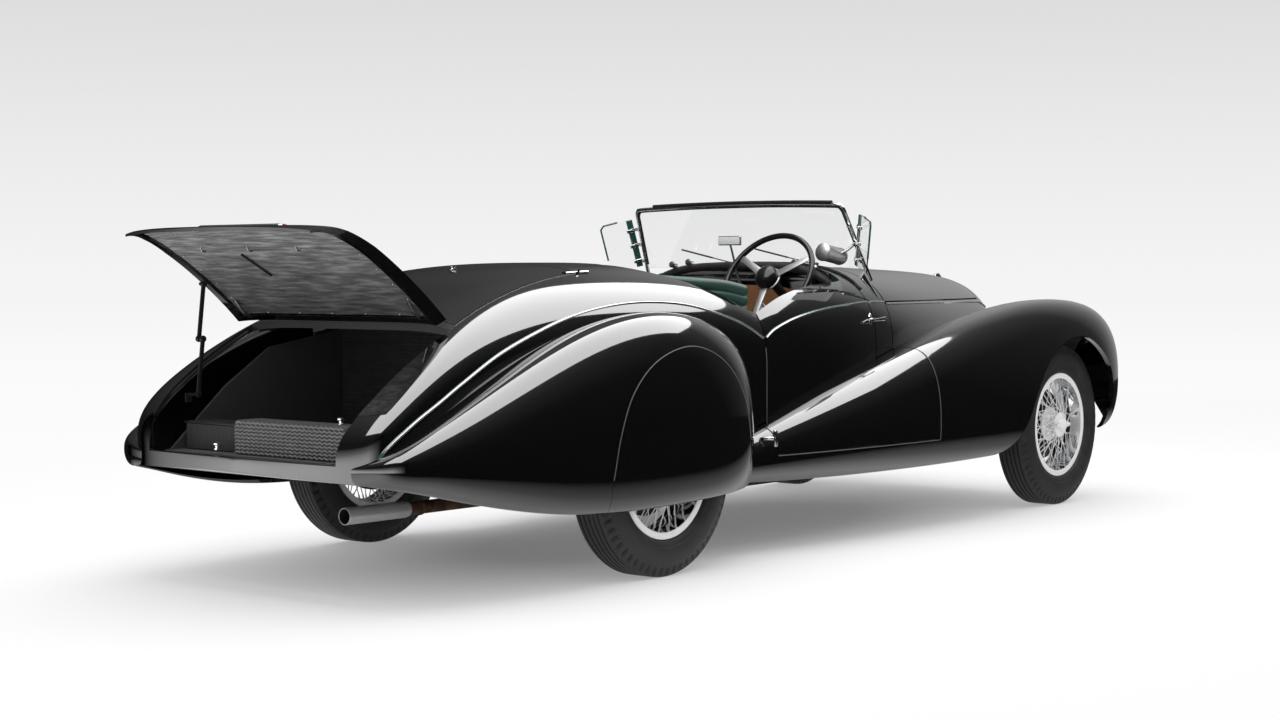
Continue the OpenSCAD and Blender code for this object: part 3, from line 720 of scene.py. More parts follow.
def mouthFaces(bm):
    # the cut edges and the sill of the boot mouth and the strip under the lid's hinge are matt
    for face in bm.faces:
        p, n = face.calc_center_median(), face.normal
        strip = -2226 < p.x < -2178 and abs(p.y) < panels["lidHalf"] + 6 and p.z > 700
        cut = -2690 < p.x < -2210 and 494 < abs(p.y) < 503 and n.y * p.y < 0
        sill = p.x < -2600 and 450 < p.z < 458.5 and n.z > 0.9
        if strip or cut or sill:
            face.material_index = 1
    return bm


tailForm = (tailShell - box(-1540, -900, 0, -1360, 900, 450)).form()
addPiece("tail_shell", mouthFaces(tailForm), "body", [paint, darkRail], ["tail_body"])

rearShell = rearWing - rearWingInner
rearFender = rearShell - tail - profile(spread(flowing(spatEdge, 6), 2), 740, 1000)
spat = rearShell & profile(flowing(spatEdge, 6), 740, 1000)


def leatherInside(bm, side):
    # the faces that look into the cabin take the second finish
    for face in bm.faces:
        middle = face.calc_center_median()
        if face.normal.y * side < -0.25 and middle.z > 395 and abs(middle.y) < 640:
            face.material_index = 1
    return bm


for side, label in sides:
    for name, panel, rider, node in (("wing_front_", fender, "body", "front_fender_"),
                                     ("wing_rear_", rearFender, "body", "rear_fender_"),
                                     ("wheel_cover_", spat, "body", "spat_"),
                                     ("bonnet_top_", bonnet, "bonnet_" + label, "bonnet_")):
        addPiece(name + label, onSide(panel.form(), side), rider, paint, [node + label])
    addPiece("door_shell_" + label, leatherInside(onSide(door.form(), side), side), "door_" + label,
             [paint, greenHide], ["door_" + label])

deckCover = (tail & coverZone(0)) - tailInner
addPiece("deck_cover", deckCover.form(), "top_cover", paint, ["top_cover"])


def openLid(bm):
    x, z = panels["lidHinge"]
    return moved(turned(moved(bm, -x, 0, -z), panels["lidOpen"], "Y"), x, 0, z)


lidDeep = Solid(loft(tailRows, hullLoop, 2 * wall, steps=80, k=18))
lidHollow = Solid(loft(tailRows, hullLoop, wall + 4, steps=80, k=18)) & bootZone(-panels["lidRim"])
lid = (tail & bootZone(0)) - lidDeep - lidHollow
addPiece("lid_shell", openLid(lid.form()), "boot_lid", paint, ["boot_lid"])
print("panels cut")

# solids that keep their own shape
finishOf = {
    "chassis_rail_left": chassisPaint, "chassis_rail_right": chassisPaint, "chassis_cross": chassisPaint,
    "floor_pan": chassisPaint, "front_axle": chassisPaint, "rear_axle": chassisPaint,
    "front_springs": steel, "rear_springs": steel, "knuckle_left": chassisPaint,
    "knuckle_right": chassisPaint, "steering_column": darkRail, "engine": castIron, "dashboard": walnut,
    "windscreen_glass": glass, "wind_wings": glass, "boot_box": carpet}
for node, finish in finishOf.items():
    dress(node, finish)
print("solids dressed")

# coachline: a bright bead with a green edge, laid along the side of the hull
lineSetup = {"bead": 3.6, "edge": 6.4, "proud": 1.4, "sunk": 2.6}
tailLine = [(-688, 812), (-820, 876), (-1060, 938), (-1290, 954), (-1510, 942), (-1720, 908), (-1920, 854),
            (-2120, 786), (-2300, 702), (-2400, 650), (-2500, 598), (-2570, 552), (-2612, 514), (-2636, 476),
            (-2640, 425)]
doorLine = [(-668, 812), (-600, 845), (-450, 885), (-250, 915), (0, 935), (108, 940)]
cowlLine = [(130, 940), (200, 940), (262, 938)]
noseLine = [(274, 931), (700, 930), (1100, 929), (1450, 926), (1600, 922), (1700, 900)]


def coachLine(name, rows, pairs, bodyOf):
    route = flowing([(x, 0, z) for x, z in pairs], 8)
    for side, label in sides:
        def offset(out):
            return [(p.x, side * (hullSide(rows, p.x, p.z) + out), p.z) for p in route]
        bead = tube(offset(lineSetup["proud"]), lineSetup["bead"])
        edge = coated(tube(offset(-lineSetup["sunk"]), lineSetup["edge"]), 1)
        addPiece(name + "_" + label, [bead, edge], bodyOf(label), [silver, greenPaint], angle=60)


coachLine("coachline_tail", tailRows, tailLine, lambda label: "body")
coachLine("coachline_door", foreRows, doorLine, lambda label: "door_" + label)
coachLine("coachline_cowl", foreRows, cowlLine, lambda label: "body")
coachLine("coachline_nose", foreRows, noseLine, lambda label: "body")
print("coachlines laid")

# seams of the wheel covers, doors and top cover: a fine pale bead on the fixed side of each gap, a painted
# highlight for the light that the panel edges catch
seamSetup = {"bead": 1.5, "proud": 0.3}


def wingSide(rows, x, z):
    _, low, outer, crownY, _, lowZ, wideZ, crownZ, _ = stationNear(rows, x)
    if z < wideZ:
        return low + (outer - low) * math.sqrt(max(0.0, 1 - ((wideZ - z) / (wideZ - lowZ)) ** 2))
    return crownY + (outer - crownY) * max(0.0, 1 - min(1.0, (z - wideZ) / (crownZ - wideZ)) ** 2.5) ** 0.4


def seamBead(points, sideOf):
    return tube([(x, sideOf(x, z) + seamSetup["proud"], z) for x, z in points], seamSetup["bead"], 2)


spatSeam = [(p.x, p.y) for p in flowing(spread(spatEdge[1:-1], 2), 6) if p.y > 272]
spatBead = seamBead(spatSeam, lambda x, z: wingSide(rearWingRows, x, z))
pinX, pinY = panels["doorPin"]
cutReach = panels["wingReach"] + gap + 1
frontCut = []
for i in range(25):
    z = panels["doorFoot"] - gap + i * 15.0
    if z < stationNear(frontWingRows, pinX + cutReach)[7] - 4:
        apart = wingSide(frontWingRows, pinX + cutReach, z) - pinY
        frontCut.append((pinX + math.sqrt(cutReach ** 2 - apart ** 2), z))
footCut = [(x, panels["doorFoot"] - gap - 1) for x in range(panels["doorRear"], int(frontCut[0][0]), 30)]
doorBead = seamBead(footCut + frontCut, lambda x, z: wingSide(frontWingRows, x, z))
rearBead = seamBead([(-681.5, z) for z in range(450, 800, 25)], lambda x, z: hullSide(tailRows, x, z))
coverRun = []
for i in range(24):
    along = i / 23
    y = panels["coverHalf"] + along * (panels["lidHalf"] - 6 - panels["coverHalf"]) + gap + 1.5
    x = panels["coverHinge"] - 12 + along * (panels["lidHinge"][0] + 20 - panels["coverHinge"])
    coverRun.append((x, y, hullTop(tailRows, x, y) + seamSetup["proud"]))
coverBead = tube(coverRun, seamSetup["bead"], 2)
for side, label in sides:
    beads = [onSide(bead.copy(), side) for bead in (spatBead, doorBead, rearBead, coverBead)]
    addPiece("seam_beads_" + label, beads, "body", seamHighlightGrey, angle=80)
print("seams drawn")

# wire wheels, made flat with the outer face up and then stood on their axles
wheelSetup = {"spokes": 14, "spoke": 2.1, "nipple": 3.3, "nippleLong": 18, "lead": (36, 50),
              "outerHub": (52, 62), "innerHub": (73, 10), "rimFoot": 202, "frontTrack": 1430,
              "rearTrack": 1456, "axles": {"front": 1450, "rear": -1450}}


def wheelForm(s):
    rim = lathe([(217, -57), (234, -57), (236, -58.5), (236, -61.5), (234, -63), (214, -63), (211, -60),
                 (209, -40), (201, -22), (199, -16), (199, 12), (201, 18), (209, 40), (211, 60), (214, 63),
                 (234, 63), (236, 61.5), (236, 58.5), (234, 57), (217, 57), (217, 30), (205, 12), (205, -16),
                 (217, -30)], 96, True)
    for face in rim.faces:      # the barrel inside the flanges is plated
        place = face.calc_center_median()
        face.material_index = 1 if math.hypot(place.x, place.y) < 210 else 0
    hub = lathe([(25.05, 2), (44, 2), (47, 4), (75, 4), (77, 6), (77, 12), (75, 14), (52, 16), (45, 22),
                 (41, 32), (41, 44), (44, 52), (54, 57), (56, 60), (56, 65), (54, 68), (46, 70), (43, 73),
                 (33, 75), (31, 80), (29, 85), (22, 89), (12, 91.5), (0, 92), (0, 62), (25.05, 62)], 48)
    ears = []
    for turn in (0, 180):
        ear = prism([(4, -15), (28, -13), (52, -9), (63, -4), (65, 0), (63, 4), (52, 9), (28, 13), (4, 15)],
                    11, lambda a, b, d: (a, b, 75 + d))
        ears.append(turned(rounded(ear, 2.2, 2), turn, "Z"))
    spokes = []
    for row in range(4):
        outer, lead = row < 2, 1 if row % 2 == 0 else -1
        radius, height = s["outerHub"] if outer else s["innerHub"]
        foot = (9 if outer else -11) + lead * 3
        for i in range(s["spokes"]):
            a = 2 * math.pi * (i + row / 4) / s["spokes"]
            b = a + lead * math.radians(s["lead"][0 if outer else 1])
            start = Vector((radius * math.cos(a), radius * math.sin(a), height + lead * 2))
            end = Vector((s["rimFoot"] * math.cos(b), s["rimFoot"] * math.sin(b), foot))
            nipple = end + (start - end).normalized() * s["nippleLong"]
            spokes += [rod(start, end, s["spoke"], 6), rod(nipple, end, s["nipple"], 6)]
    return joined(rim, hub, *ears, *spokes)


tyreSetup = {"steps": 240, "flute": 5.0, "tread": 367.4, "grooves": (-42, -21, 0, 21, 42),
             "grooveHalf": 2.6, "grooveDeep": 6.5}


def tyreForm(s):
    wallHalf = [(219, 55), (237, 56.2), (238.5, 62), (243, 68), (250, 72.5), (259, 76.5), (261, 76.2),
                (264, 79), (274, 81), (285, 81.8), (298, 81), (312, 78.6), (325, 75), (330, 71.5), (338, 69),
                (346, 66.2), (354, 63.4), (360, 61), (364.5, 58), (367, 53)]
    top, low, half = s["tread"], s["tread"] - s["grooveDeep"], s["grooveHalf"]
    tread = []
    for y in s["grooves"][::-1]:
        tread += [(top, y + half), (low, y + half * 0.6), (low, y - half * 0.6), (top, y - half)]
    bm = lathe(wallHalf + tread + [(r, -h) for r, h in wallHalf[::-1]], s["steps"], True)
    for vert in bm.verts:       # flutes across the shoulders
        radius = math.hypot(vert.co.x, vert.co.y)
        turn = round(math.atan2(vert.co.y, vert.co.x) / (2 * math.pi) * s["steps"]) % 4
        if 337 < radius < 362 and abs(vert.co.z) > 60 and turn == 0:
            vert.co.x *= 1 - s["flute"] / radius
            vert.co.y *= 1 - s["flute"] / radius
            vert.co.z *= 1 - s["flute"] / abs(vert.co.z)
    return bm


oneWheel, oneTyre = wheelForm(wheelSetup), tyreForm(tyreSetup)
for end in ("front", "rear"):
    for side, label in sides:
        corner, rider = end + "_" + label, end + "_wheel_" + label
        for form, name, node, slot, finish in (
                (oneWheel, "wire_wheel_", "wheel_", "chrome", [silverPaintedReflection, chrome]),
                (oneTyre, "road_tyre_", "tyre_", "tyre", rubber)):
            stood = turned(form.copy(), -90 * side, "X")
            moved(stood, wheelSetup["axles"][end], side * wheelSetup[end + "Track"] / 2, hubZ)
            addPiece(name + corner, stood, rider, finish, [node + corner], angle=34)
print("wheels made")

# exhaust
pipe = {"y": -200, "z": 255, "tip": 29, "bore": 25.5, "tail": -2412, "radius": 23, "box": 58}
tip = lathe([(pipe["bore"], 0), (27, -1), (pipe["tip"], 1), (pipe["tip"], 270), (26, 284), (23.5, 288),
             (22.5, 260), (pipe["bore"], 240)], 40, True)
for face in tip.faces:      # sooty inside
    place = face.calc_center_median()
    face.material_index = 2 if math.hypot(place.x, place.y) < 26 else 0
tip = moved(turned(tip, 90, "Y"), pipe["tail"], pipe["y"], pipe["z"])
silencer = lathe([(0, 0), (24, 0), (27, 14), (50, 26), (57, 40), (pipe["box"], 60), (pipe["box"], 700),
                  (57, 720), (50, 734), (27, 746), (24, 760), (0, 760)], 40)
rusted = [moved(turned(silencer, 90, "Y"), -480, pipe["y"], 240)]
for run in ([(-2160, 255), (-1500, 255), (-560, 251), (-470, 244)],
            [(270, 244), (420, 250), (560, 262), (596, 292), (600, 378)]):
    rusted.append(tube(flowing([(x, pipe["y"], z) for x, z in run], 6), pipe["radius"], 8))
for x in (-2070, -1700, -1180):
    clamp = lathe([(22, -9), (26, -9), (27, 0), (26, 9), (22, 9)], 32, True)
    rusted.append(moved(turned(clamp, 90, "Y"), x, pipe["y"], pipe["z"]))
addPiece("exhaust_pipe", [tip] + [coated(form, 1) for form in rusted], "body",
         [tipSteel, rust, chassisPaint], ["exhaust"])

# windscreen: points are y and the distance down the slant from the top edge
screen = {"rake": math.radians(26), "top": 1345, "tube": 8, "inner": 4.5, "rail": 7, "clips": (96, 170, 250)}


def onScreen(y, down, out=0.0):
    c, s = math.cos(screen["rake"]), math.sin(screen["rake"])
    return Vector((down * s + out * c, y, screen["top"] - down * c + out * s))


halfEdge = [(590, 352), (578, 262), (562, 140), (550, 54), (546, 28), (537, 14), (520, 7.5), (400, 3),
            (200, -2)]
edge = [onScreen(y, d) for y, d in halfEdge] + [onScreen(0, -4)]
edge += [onScreen(-y, d) for y, d in halfEdge[::-1]]
topRail = [onScreen(y, -15 + abs(y / 100) ** 2 * 0.34, -2) for y in range(-500, 441, 47)]
inner = [onScreen(p[0] * 0.983, p[1] + 9) for p in halfEdge[1:]]
inner = inner + [onScreen(0, 6)] + [Vector((p.x, -p.y, p.z)) for p in inner[::-1]]
frameForms = [tube(flowing(edge, 3), screen["tube"], 4), coated(tube(flowing(inner, 3), screen["inner"]), 1),
              coated(tube(topRail, screen["rail"], 4), 1)]
for side, label in sides:
    foot = rod((84, side * 584, 1052), (196, side * 611, 946), 17, 16, tip=2.5)
    bmesh.ops.scale(foot, vec=(1, 0.6, 1), space=Matrix.Translation((0, -side * 598, 0)), verts=foot.verts)
    frameForms.append(foot)
    for down in screen["clips"]:
        clip = onScreen(side * (554 + (down - 44) * 0.14), down, -12)
        frameForms.append(moved(block((-9, -8, -7), (9, 8, 7), 2.5), *clip))
        frameForms.append(rod(clip, clip + Vector((-26, side * 10, 3)), 4, 8))
addPiece("screen_frame", frameForms, "body", [chrome, darkRail], ["windscreen_frame"])

gasketLine = [(onScreen(0, 288).x + 8 - y ** 2 * 0.00004, y) for y in range(-560, 561, 40)]
gasket = tube([(x, y, hullTop(foreRows, x, y) + 3) for x, y in gasketLine], 7)
addPiece("screen_gasket", gasket, "body", rubber)

wipers = {"reach": ((70, 330), (-330, -70)), "arm": 2.4, "boss": 8, "blade": 3.6}
wiperForms = []
for pivot, swept in wipers["reach"]:
    low, high = onScreen(pivot, 284, 14), onScreen(swept, 214, 9)
    wiperForms += [rod(low, high, wipers["arm"], 8),
                   rod(low - Vector((6, 0, 12)), low + Vector((4, 0, 6)), wipers["boss"], 12),
                   rod(low.lerp(high, 0.52), low.lerp(high, 1.12), wipers["blade"], 6)]
addPiece("wipers", wiperForms, "body", darkRail)

# wing panes beside the windscreen: green edge, chrome clamps
paneSetup = {"corner": (70, 566, 1090), "swing": -52, "lean": -14, "edge": 4.2, "clamps": (28, 96, 164),
             "rail": [(-140, 2.5, 60), (-140, 2.5, 200), (-125, 2.5, 215), (-60, 2.5, 216)]}
paneTurn = Matrix.Translation(paneSetup["corner"]) @ Matrix.Rotation(math.radians(paneSetup["swing"]), 4, "Z")
paneTurn = paneTurn @ Matrix.Rotation(math.radians(paneSetup["lean"]), 4, "Y")
paneForms = []
for side, label in sides:
    post = placed(block((-22, -2, 2), (6, 7, 214), 2.5), paneTurn)
    rail = tube([paneTurn @ Vector(p) for p in paneSetup["rail"]], paneSetup["edge"])
    pane = [coated(rail, 1), coated(post, 1)]
    for height in paneSetup["clamps"]:
        pane.append(placed(block((-30, -6, height - 8), (8, 11, height + 8), 3), paneTurn))
        pane.append(placed(rod((-18, 2.5, height), (-18, -11, height), 6, 12), paneTurn))
    paneForms += [onSide(form, side) for form in pane]
addPiece("pane_fittings", paneForms, "body", [chrome, greenPaint])

# driving mirror and the lamp on the right pillar
mirrorSetup = {"foot": (38, 0, 1012), "head": (-30, 0, 1186), "half": Vector((6, 60, 20))}
mirrorBack = moved(block(-mirrorSetup["half"], mirrorSetup["half"], 5), -32, 0, 1197)
# the mirror face is in the near-white silver, a painted reflection
mirrorFace = block((-39.5, -55, 1181), (-37.5, 55, 1213), 0.8)
mirrorStem = rod(mirrorSetup["foot"], mirrorSetup["head"], 5, 12)
mirrorFoot = rod((44, 0, 1006), (34, 0, 1026), 15, 20, tip=8)
addPiece("driving_mirror", [mirrorBack, coated(mirrorFace, 1), mirrorStem, mirrorFoot], "body",
         [silver, silverPaintedReflection], ["rear_mirror"])

pillar = {"lampTail": (-75, -500, 1146), "lampNose": (94, -500, 1122),
          "bracket": [(10, -520, 1135), (34, -545, 1150), (60, -560, 1172), (76, -562, 1180)]}
lampTail, lampNose = Vector(pillar["lampTail"]), Vector(pillar["lampNose"])
pillarLamp = lathe([(0, -4), (18, -3), (33, 2), (37, 6), (37, 14), (34.5, 16), (34.5, 120), (36, 122),
                    (36, 132), (31, 146), (20, 160), (0, 168)], 40)
aim = (lampNose - lampTail).to_track_quat("Z", "Y").to_matrix().to_4x4()
pillarLamp = placed(pillarLamp, Matrix.Translation(lampTail) @ aim)
bracket = tube(flowing(pillar["bracket"], 5), 6, 3)
addPiece("pillar_lamp", [pillarLamp, bracket], "body", brushed)
print("windscreen fitted")

# steering wheel, flat with its face down and then tilted onto the column
helm = {"centre": (-200, -320, 1038), "tilt": 121.5, "radius": 205, "grip": 12}
turns = [a / 9 * math.pi for a in range(18)]
grip = lathe([(helm["radius"] + helm["grip"] * math.cos(a), helm["grip"] * math.sin(a)) for a in turns],
             128, True)
boss = lathe([(0, -46), (14, -45), (28, -41), (40, -33), (48, -20), (51, -6), (49, 4), (40, 10), (30, 20),
              (0, 20)], 48)
ring = lathe([(49, 2), (53, 4), (53, 9), (46, 11)], 48, True)
arms = []
for turn in (0, 120, 240):
    arm = prism([(30, -17), (120, -14), (199, -12), (199, 12), (120, 14), (30, 17)], 5,
                lambda a, b, d: (a, b, d - 2.5))
    arms.append(coated(turned(rounded(arm, 1.6, 2), turn, "Z"), 1))
helmForm = joined(grip, boss, coated(ring, 1), *arms)
addPiece("helm", moved(turned(helmForm, helm["tilt"], "Y"), *helm["centre"]), "steering_wheel",
         [bakelite, brushed], ["steering_wheel"])

# dashboard: dials, a padded roll above and the pulls on it
dashSetup = {"face": 22, "pulls": (-200, 60, 200, 300, 380), "topPulls": (347, 258, -303, -389),
             "dials": [(-380, 905, 52), (-262, 905, 52), (-120, 900, 34), (0, 900, 34), (120, 900, 34)]}
dialForms, knobForms = [], []
for y, z, radius in dashSetup["dials"]:
    bezel = lathe([(radius - 6, 4), (radius - 4, 9), (radius, 8), (radius + 2, 0), (radius - 6, 0)], 40, True)
    face = coated(lathe([(0, 3), (radius - 4, 3), (radius - 4, 0), (0, 0)], 40), 1)
    hand = coated(turned(block((-1.4, -6, 4), (1.4, radius - 14, 5.2), 0.4), 30 + y / 5, "Z"), 2)
    tick = (-0.9, radius - 14, 3.1), (0.9, radius - 8, 3.9)
    marks = [coated(turned(block(*tick), 225 - i * 27, "Z"), 2) for i in range(11)]
    dialForms.append(moved(turned(joined(bezel, face, hand, *marks), -90, "Y"), dashSetup["face"], y, z))
addPiece("dials", dialForms, "body", [chrome, dial, bakelite])
for y in dashSetup["pulls"]:
    knob = lathe([(0, 0), (5, 0), (5, 10), (10, 13), (11, 19), (7, 24), (0, 25)], 20)
    knobForms.append(moved(turned(knob, -90, "Y"), dashSetup["face"], y, 845))
for y in dashSetup["topPulls"]:
    stem = lathe([(0, 0), (14, 0), (12, 6), (6, 8), (6, 16), (13, 20), (15, 27), (11, 33), (0, 35)], 24)
    knobForms.append(moved(turned(stem, -70, "Y"), 34, y, hullTop(foreRows, 50, y) + 4))
addPiece("dash_pulls", knobForms, "body", chrome)
rollLine = []
for y in range(-480, 481, 40):
    z = hullTop(foreRows, 62, y) - 12 - 30 * (abs(y) / 480) ** 5
    rollLine.append((46 - 16 * (abs(y) / 470) ** 4, y, z))
addPiece("dash_roll", tube(rollLine, 18, 5), "body", blackHide)

# controls on the floor
controls = {"pedals": (-440, -340, -240),
            "lever": [(20, -40, 330), (-40, -40, 470), (-110, -40, 585), (-130, -40, 640)]}
lever = tube(flowing(controls["lever"], 6), 7, 4)
knob = moved(lathe([(0, -17), (10, -14), (17, 0), (14, 11), (6, 16), (0, 17)], 24), -134, -40, 652)
gaiter = moved(lathe([(0, 0), (56, 0), (50, 12), (30, 26), (14, 44), (0, 46)], 28), 20, -40, 323)
pedals = [block((150, y - 26, 470), (166, y + 26, 540), 5) for y in controls["pedals"]]
stems = [rod((160, y, 480), (262, y, 400), 7, 10) for y in controls["pedals"]]
addPiece("floor_controls", [lever] + [coated(form, 1) for form in (knob, gaiter, *pedals)] + stems,
         "body", [steel, bakelite])

# carpet over the floor pan and up to the bulkhead
mat = [block((-868, -566, 316.5), (276, 566, 324), 3), block((276, -560, 324), (285.5, 560, 800), 3)]
addPiece("cabin_carpet", mat, "body", carpet)
backboard = prism([(-1100, 440), (-1108, 437), (-1206, 918), (-1202, 922)], 1110,
                  lambda a, b, d: (a + 9, d - 555, b))
addPiece("seat_backboard", backboard, "body", blackHide)
print("cabin fitted")


# padded seats: a plain pad is swollen as cloth, then its pleats are sewn in
padSetup = {
    "cushion": {"outline": [(-868, 322), (-420, 322), (-398, 345), (-392, 548), (-405, 580), (-440, 594),
                            (-868, 548)],
                "half": 538, "pleat": 64, "along": (-800, -430), "face": (0, 1), "node": "seat_cushion"},
    "back": {"outline": [(-898, 450), (-902, 600), (-964, 915), (-982, 952), (-1006, 962), (-1032, 950),
                         (-1048, 920), (-1066, 450)],
             "half": 472, "pleat": 64, "along": (620, 900), "face": (1, 0.2), "node": "seat_back"},
    "voxel": 0.013, "pressure": 4.0, "frames": 20, "cap": 0.024, "seam": 9.0}


def swollen(bm, s):
    mesh = bpy.data.meshes.new("pad")
    bmesh.ops.scale(bm, vec=(0.001, 0.001, 0.001), verts=bm.verts)
    bm.to_mesh(mesh)
    bm.free()
    pad = bpy.data.objects.new("pad", mesh)
    scene.collection.objects.link(pad)
    fine = pad.modifiers.new("fine", "REMESH")
    fine.mode, fine.voxel_size = "VOXEL", s["voxel"]
    start = bpy.data.meshes.new_from_object(pad.evaluated_get(bpy.context.evaluated_depsgraph_get()))
    pad.modifiers.clear()
    pad.data = start
    cloth = pad.modifiers.new("cloth", "CLOTH")
    cloth.settings.use_pressure, cloth.settings.uniform_pressure_force = True, s["pressure"]
    cloth.settings.effector_weights.gravity = 0
    cloth.point_cache.frame_end = s["frames"]
    for step in range(1, s["frames"] + 1):
        scene.frame_set(step)
    after = bpy.data.meshes.new_from_object(pad.evaluated_get(bpy.context.evaluated_depsgraph_get()))
    for rest, end in zip(start.vertices, after.vertices):
        push = end.co - rest.co
        if push.length > s["cap"]:
            push *= s["cap"] / push.length
        rest.co = rest.co + push
    pad.modifiers.clear()
    scene.frame_set(1)
    out = bmesh.new()
    out.from_mesh(start)
    bpy.data.objects.remove(pad)
    bmesh.ops.scale(out, vec=(1000, 1000, 1000), verts=out.verts)
    bmesh.ops.subdivide_edges(out, edges=out.edges[:], cuts=1, use_grid_fill=True, smooth=0.0)
    bmesh.ops.smooth_vert(out, verts=out.verts, factor=0.5, use_axis_x=True, use_axis_y=True, use_axis_z=True)
    return out


def sewn(bm, part, seam):
    out = Vector((part["face"][0], 0, part["face"][1])).normalized()
    low, high = part["along"]
    bm.normal_update()
    pushes = []
    for vert in bm.verts:
        along = vert.co.x if part["face"][0] == 0 else vert.co.z
        ease = min(1.0, max(0.0, (along - low) / 40), max(0.0, (high - along) / 40))
        facing = min(1.0, max(0.0, vert.normal.dot(out) - 0.2) * 2)
        off = (vert.co.y / part["pleat"]) % 1.0
        apart = min(off, 1 - off) * part["pleat"]
        deep = seam * math.exp(-(apart / 8) ** 2) * ease * facing
        if abs(vert.co.y) >= part["half"] - 40:
            deep = 0.0
        middle = math.exp(-(vert.co.y / 10) ** 2) * 14 * facing
        pushes.append((vert, out * -max(deep, middle)))
    for vert, push in pushes:
        vert.co += push
    return bm


for name in ("cushion", "back"):
    part = padSetup[name]
    pad = prism(part["outline"], 2 * part["half"], lambda a, b, d: (a, d - part["half"], b))
    soft = sewn(swollen(rounded(pad, 22), padSetup), part, padSetup["seam"])
    piece = addPiece("seat_" + name + "_pad", soft, "body", greenHide, [part["node"]], angle=80)

# padding round the rear of the cockpit, in stacked rolls
rollSetup = {"radius": 23, "rows": 4, "pitch": 38, "run": [
    (-710, 568, 992), (-790, 532, 1010), (-915, 476, 1020), (-1030, 396, 1030), (-1096, 310, 1036),
    (-1138, 184, 1040), (-1150, 64, 1042)]}


def cockpitRoll(s, drop):
    half = [Vector((p.x, p.y, p.z - drop)) for p in flowing(s["run"], 6)]
    forms = [tube(half + [Vector((p.x, -p.y, p.z)) for p in half[::-1]], s["radius"], 6)]
    halfTurn = [a / 12 * math.pi for a in range(13)]
    for side, label in sides:
        ball = lathe([(s["radius"] * math.sin(a), -s["radius"] * math.cos(a)) for a in halfTurn], 24)
        forms.append(moved(ball, half[0].x, side * half[0].y, half[0].z))
    return joined(*forms)


rolls = [cockpitRoll(rollSetup, i * rollSetup["pitch"]) for i in range(rollSetup["rows"])]
addPiece("cockpit_roll", rolls, "body", greenHide, angle=60)
print("seats padded")

# boot: ribbed linings, seal, latches
bootSetup = {"ribs": 9, "rib": 4.0, "zigzag": 2.6, "pitch": 12, "sheetPitch": 14.0, "boxRibs": 29, "seal": 6,
             "lip": 2.2, "latches": ((-2600, 218, 466), (-2500, -284, 566))}


def ribbedSheet(x, half, low, high, pitch):
    rows = int((high - low) / pitch * 6)
    bm = bmesh.new()
    bmesh.ops.create_grid(bm, x_segments=2, y_segments=rows, size=1)
    for vert in bm.verts:
        z = low + (vert.co.y + 1) / 2 * (high - low)
        vert.co = (x - 3.5 * abs(math.sin(math.pi * (z - low) / pitch)), -vert.co.x * half, z)
    bmesh.ops.solidify(bm, geom=bm.faces[:], thickness=-3)
    bmesh.ops.recalc_face_normals(bm, faces=bm.faces)
    return bm


bulkhead = ribbedSheet(-1779, 505, 456, 846, bootSetup["sheetPitch"])
addPiece("boot_bulkhead_lining", bulkhead, "body", darkRibs)
leftBox = [block((-2526, 190, 450.5), (-2400, 478, 541), 6), block((-2530, 186, 541), (-2396, 482, 547), 2.5)]
leftRibs = []
for i in range(bootSetup["boxRibs"]):
    y = 197 + i * 9.6
    leftRibs.append(rod((-2526, y, 455), (-2526, y, 539), 4.6, 10))
addPiece("boot_side_box", leftBox + leftRibs, "body", darkRibs)
# the pad face takes the dark carpet finish, painted shade in the grooves between the ribs, and the ribs take
# the paler grey, painted highlight
padFace = block((-2560, -392, 450.5), (-2440, 182, 566), 12, 4)
padRibs = []
for i in range(bootSetup["ribs"]):
    z = 459 + i * 12.4
    start = 172 - (6 if i == bootSetup["ribs"] - 1 else 0)
    path = [(-2559, start - k * bootSetup["pitch"], z + bootSetup["zigzag"] * (1 if k % 2 else -1))
            for k in range(int((start + 384) / bootSetup["pitch"]))]
    padRibs.append(coated(tube(path, bootSetup["rib"], 3), 1))
addPiece("boot_ribbed_pad", [padFace] + padRibs, "body", [carpet, ribLiningPaintedHighlight])


def mouthPoint(x, side, out, down):
    return (x, side * out, hullTop(tailRows, x, out) - down)


mouthRun = list(range(-2232, -2641, -24))
sealForms, lipForms = [], []
for side, label in sides:
    sealForms.append(tube([mouthPoint(x, side, 504, 16) for x in mouthRun], bootSetup["seal"], 3))
    lipForms.append(tube([mouthPoint(x, side, 500.5, 27) for x in mouthRun], bootSetup["lip"], 2))
addPiece("boot_seal", sealForms, "body", rubber)
addPiece("boot_lip", lipForms, "body", silver)
latchForms = []
for place in bootSetup["latches"]:
    latch = lathe([(0, 0), (11, 0), (11, 5), (7, 7), (7, 14), (13, 17), (13, 22), (8, 25), (0, 26)], 24)
    latchForms.append(moved(latch, *place))
addPiece("boot_latches", latchForms, "body", chrome)

# lid lining, its studs and the plate lamp, made with the lid shut and then opened
liningZone = bootZone(-panels["lidRim"] - 3)
lidSheet = (Solid(loft(tailRows, hullLoop, wall + 4.4, steps=80, k=18)) -
            Solid(loft(tailRows, hullLoop, wall + 11, steps=80, k=18))) & liningZone
addPiece("lid_lining", openLid(lidSheet.form()), "boot_lid", lidLining)


def lidUnder(x, y, extra=0.0):
    return hullTop(tailRows, x, y) - wall - 11 + extra


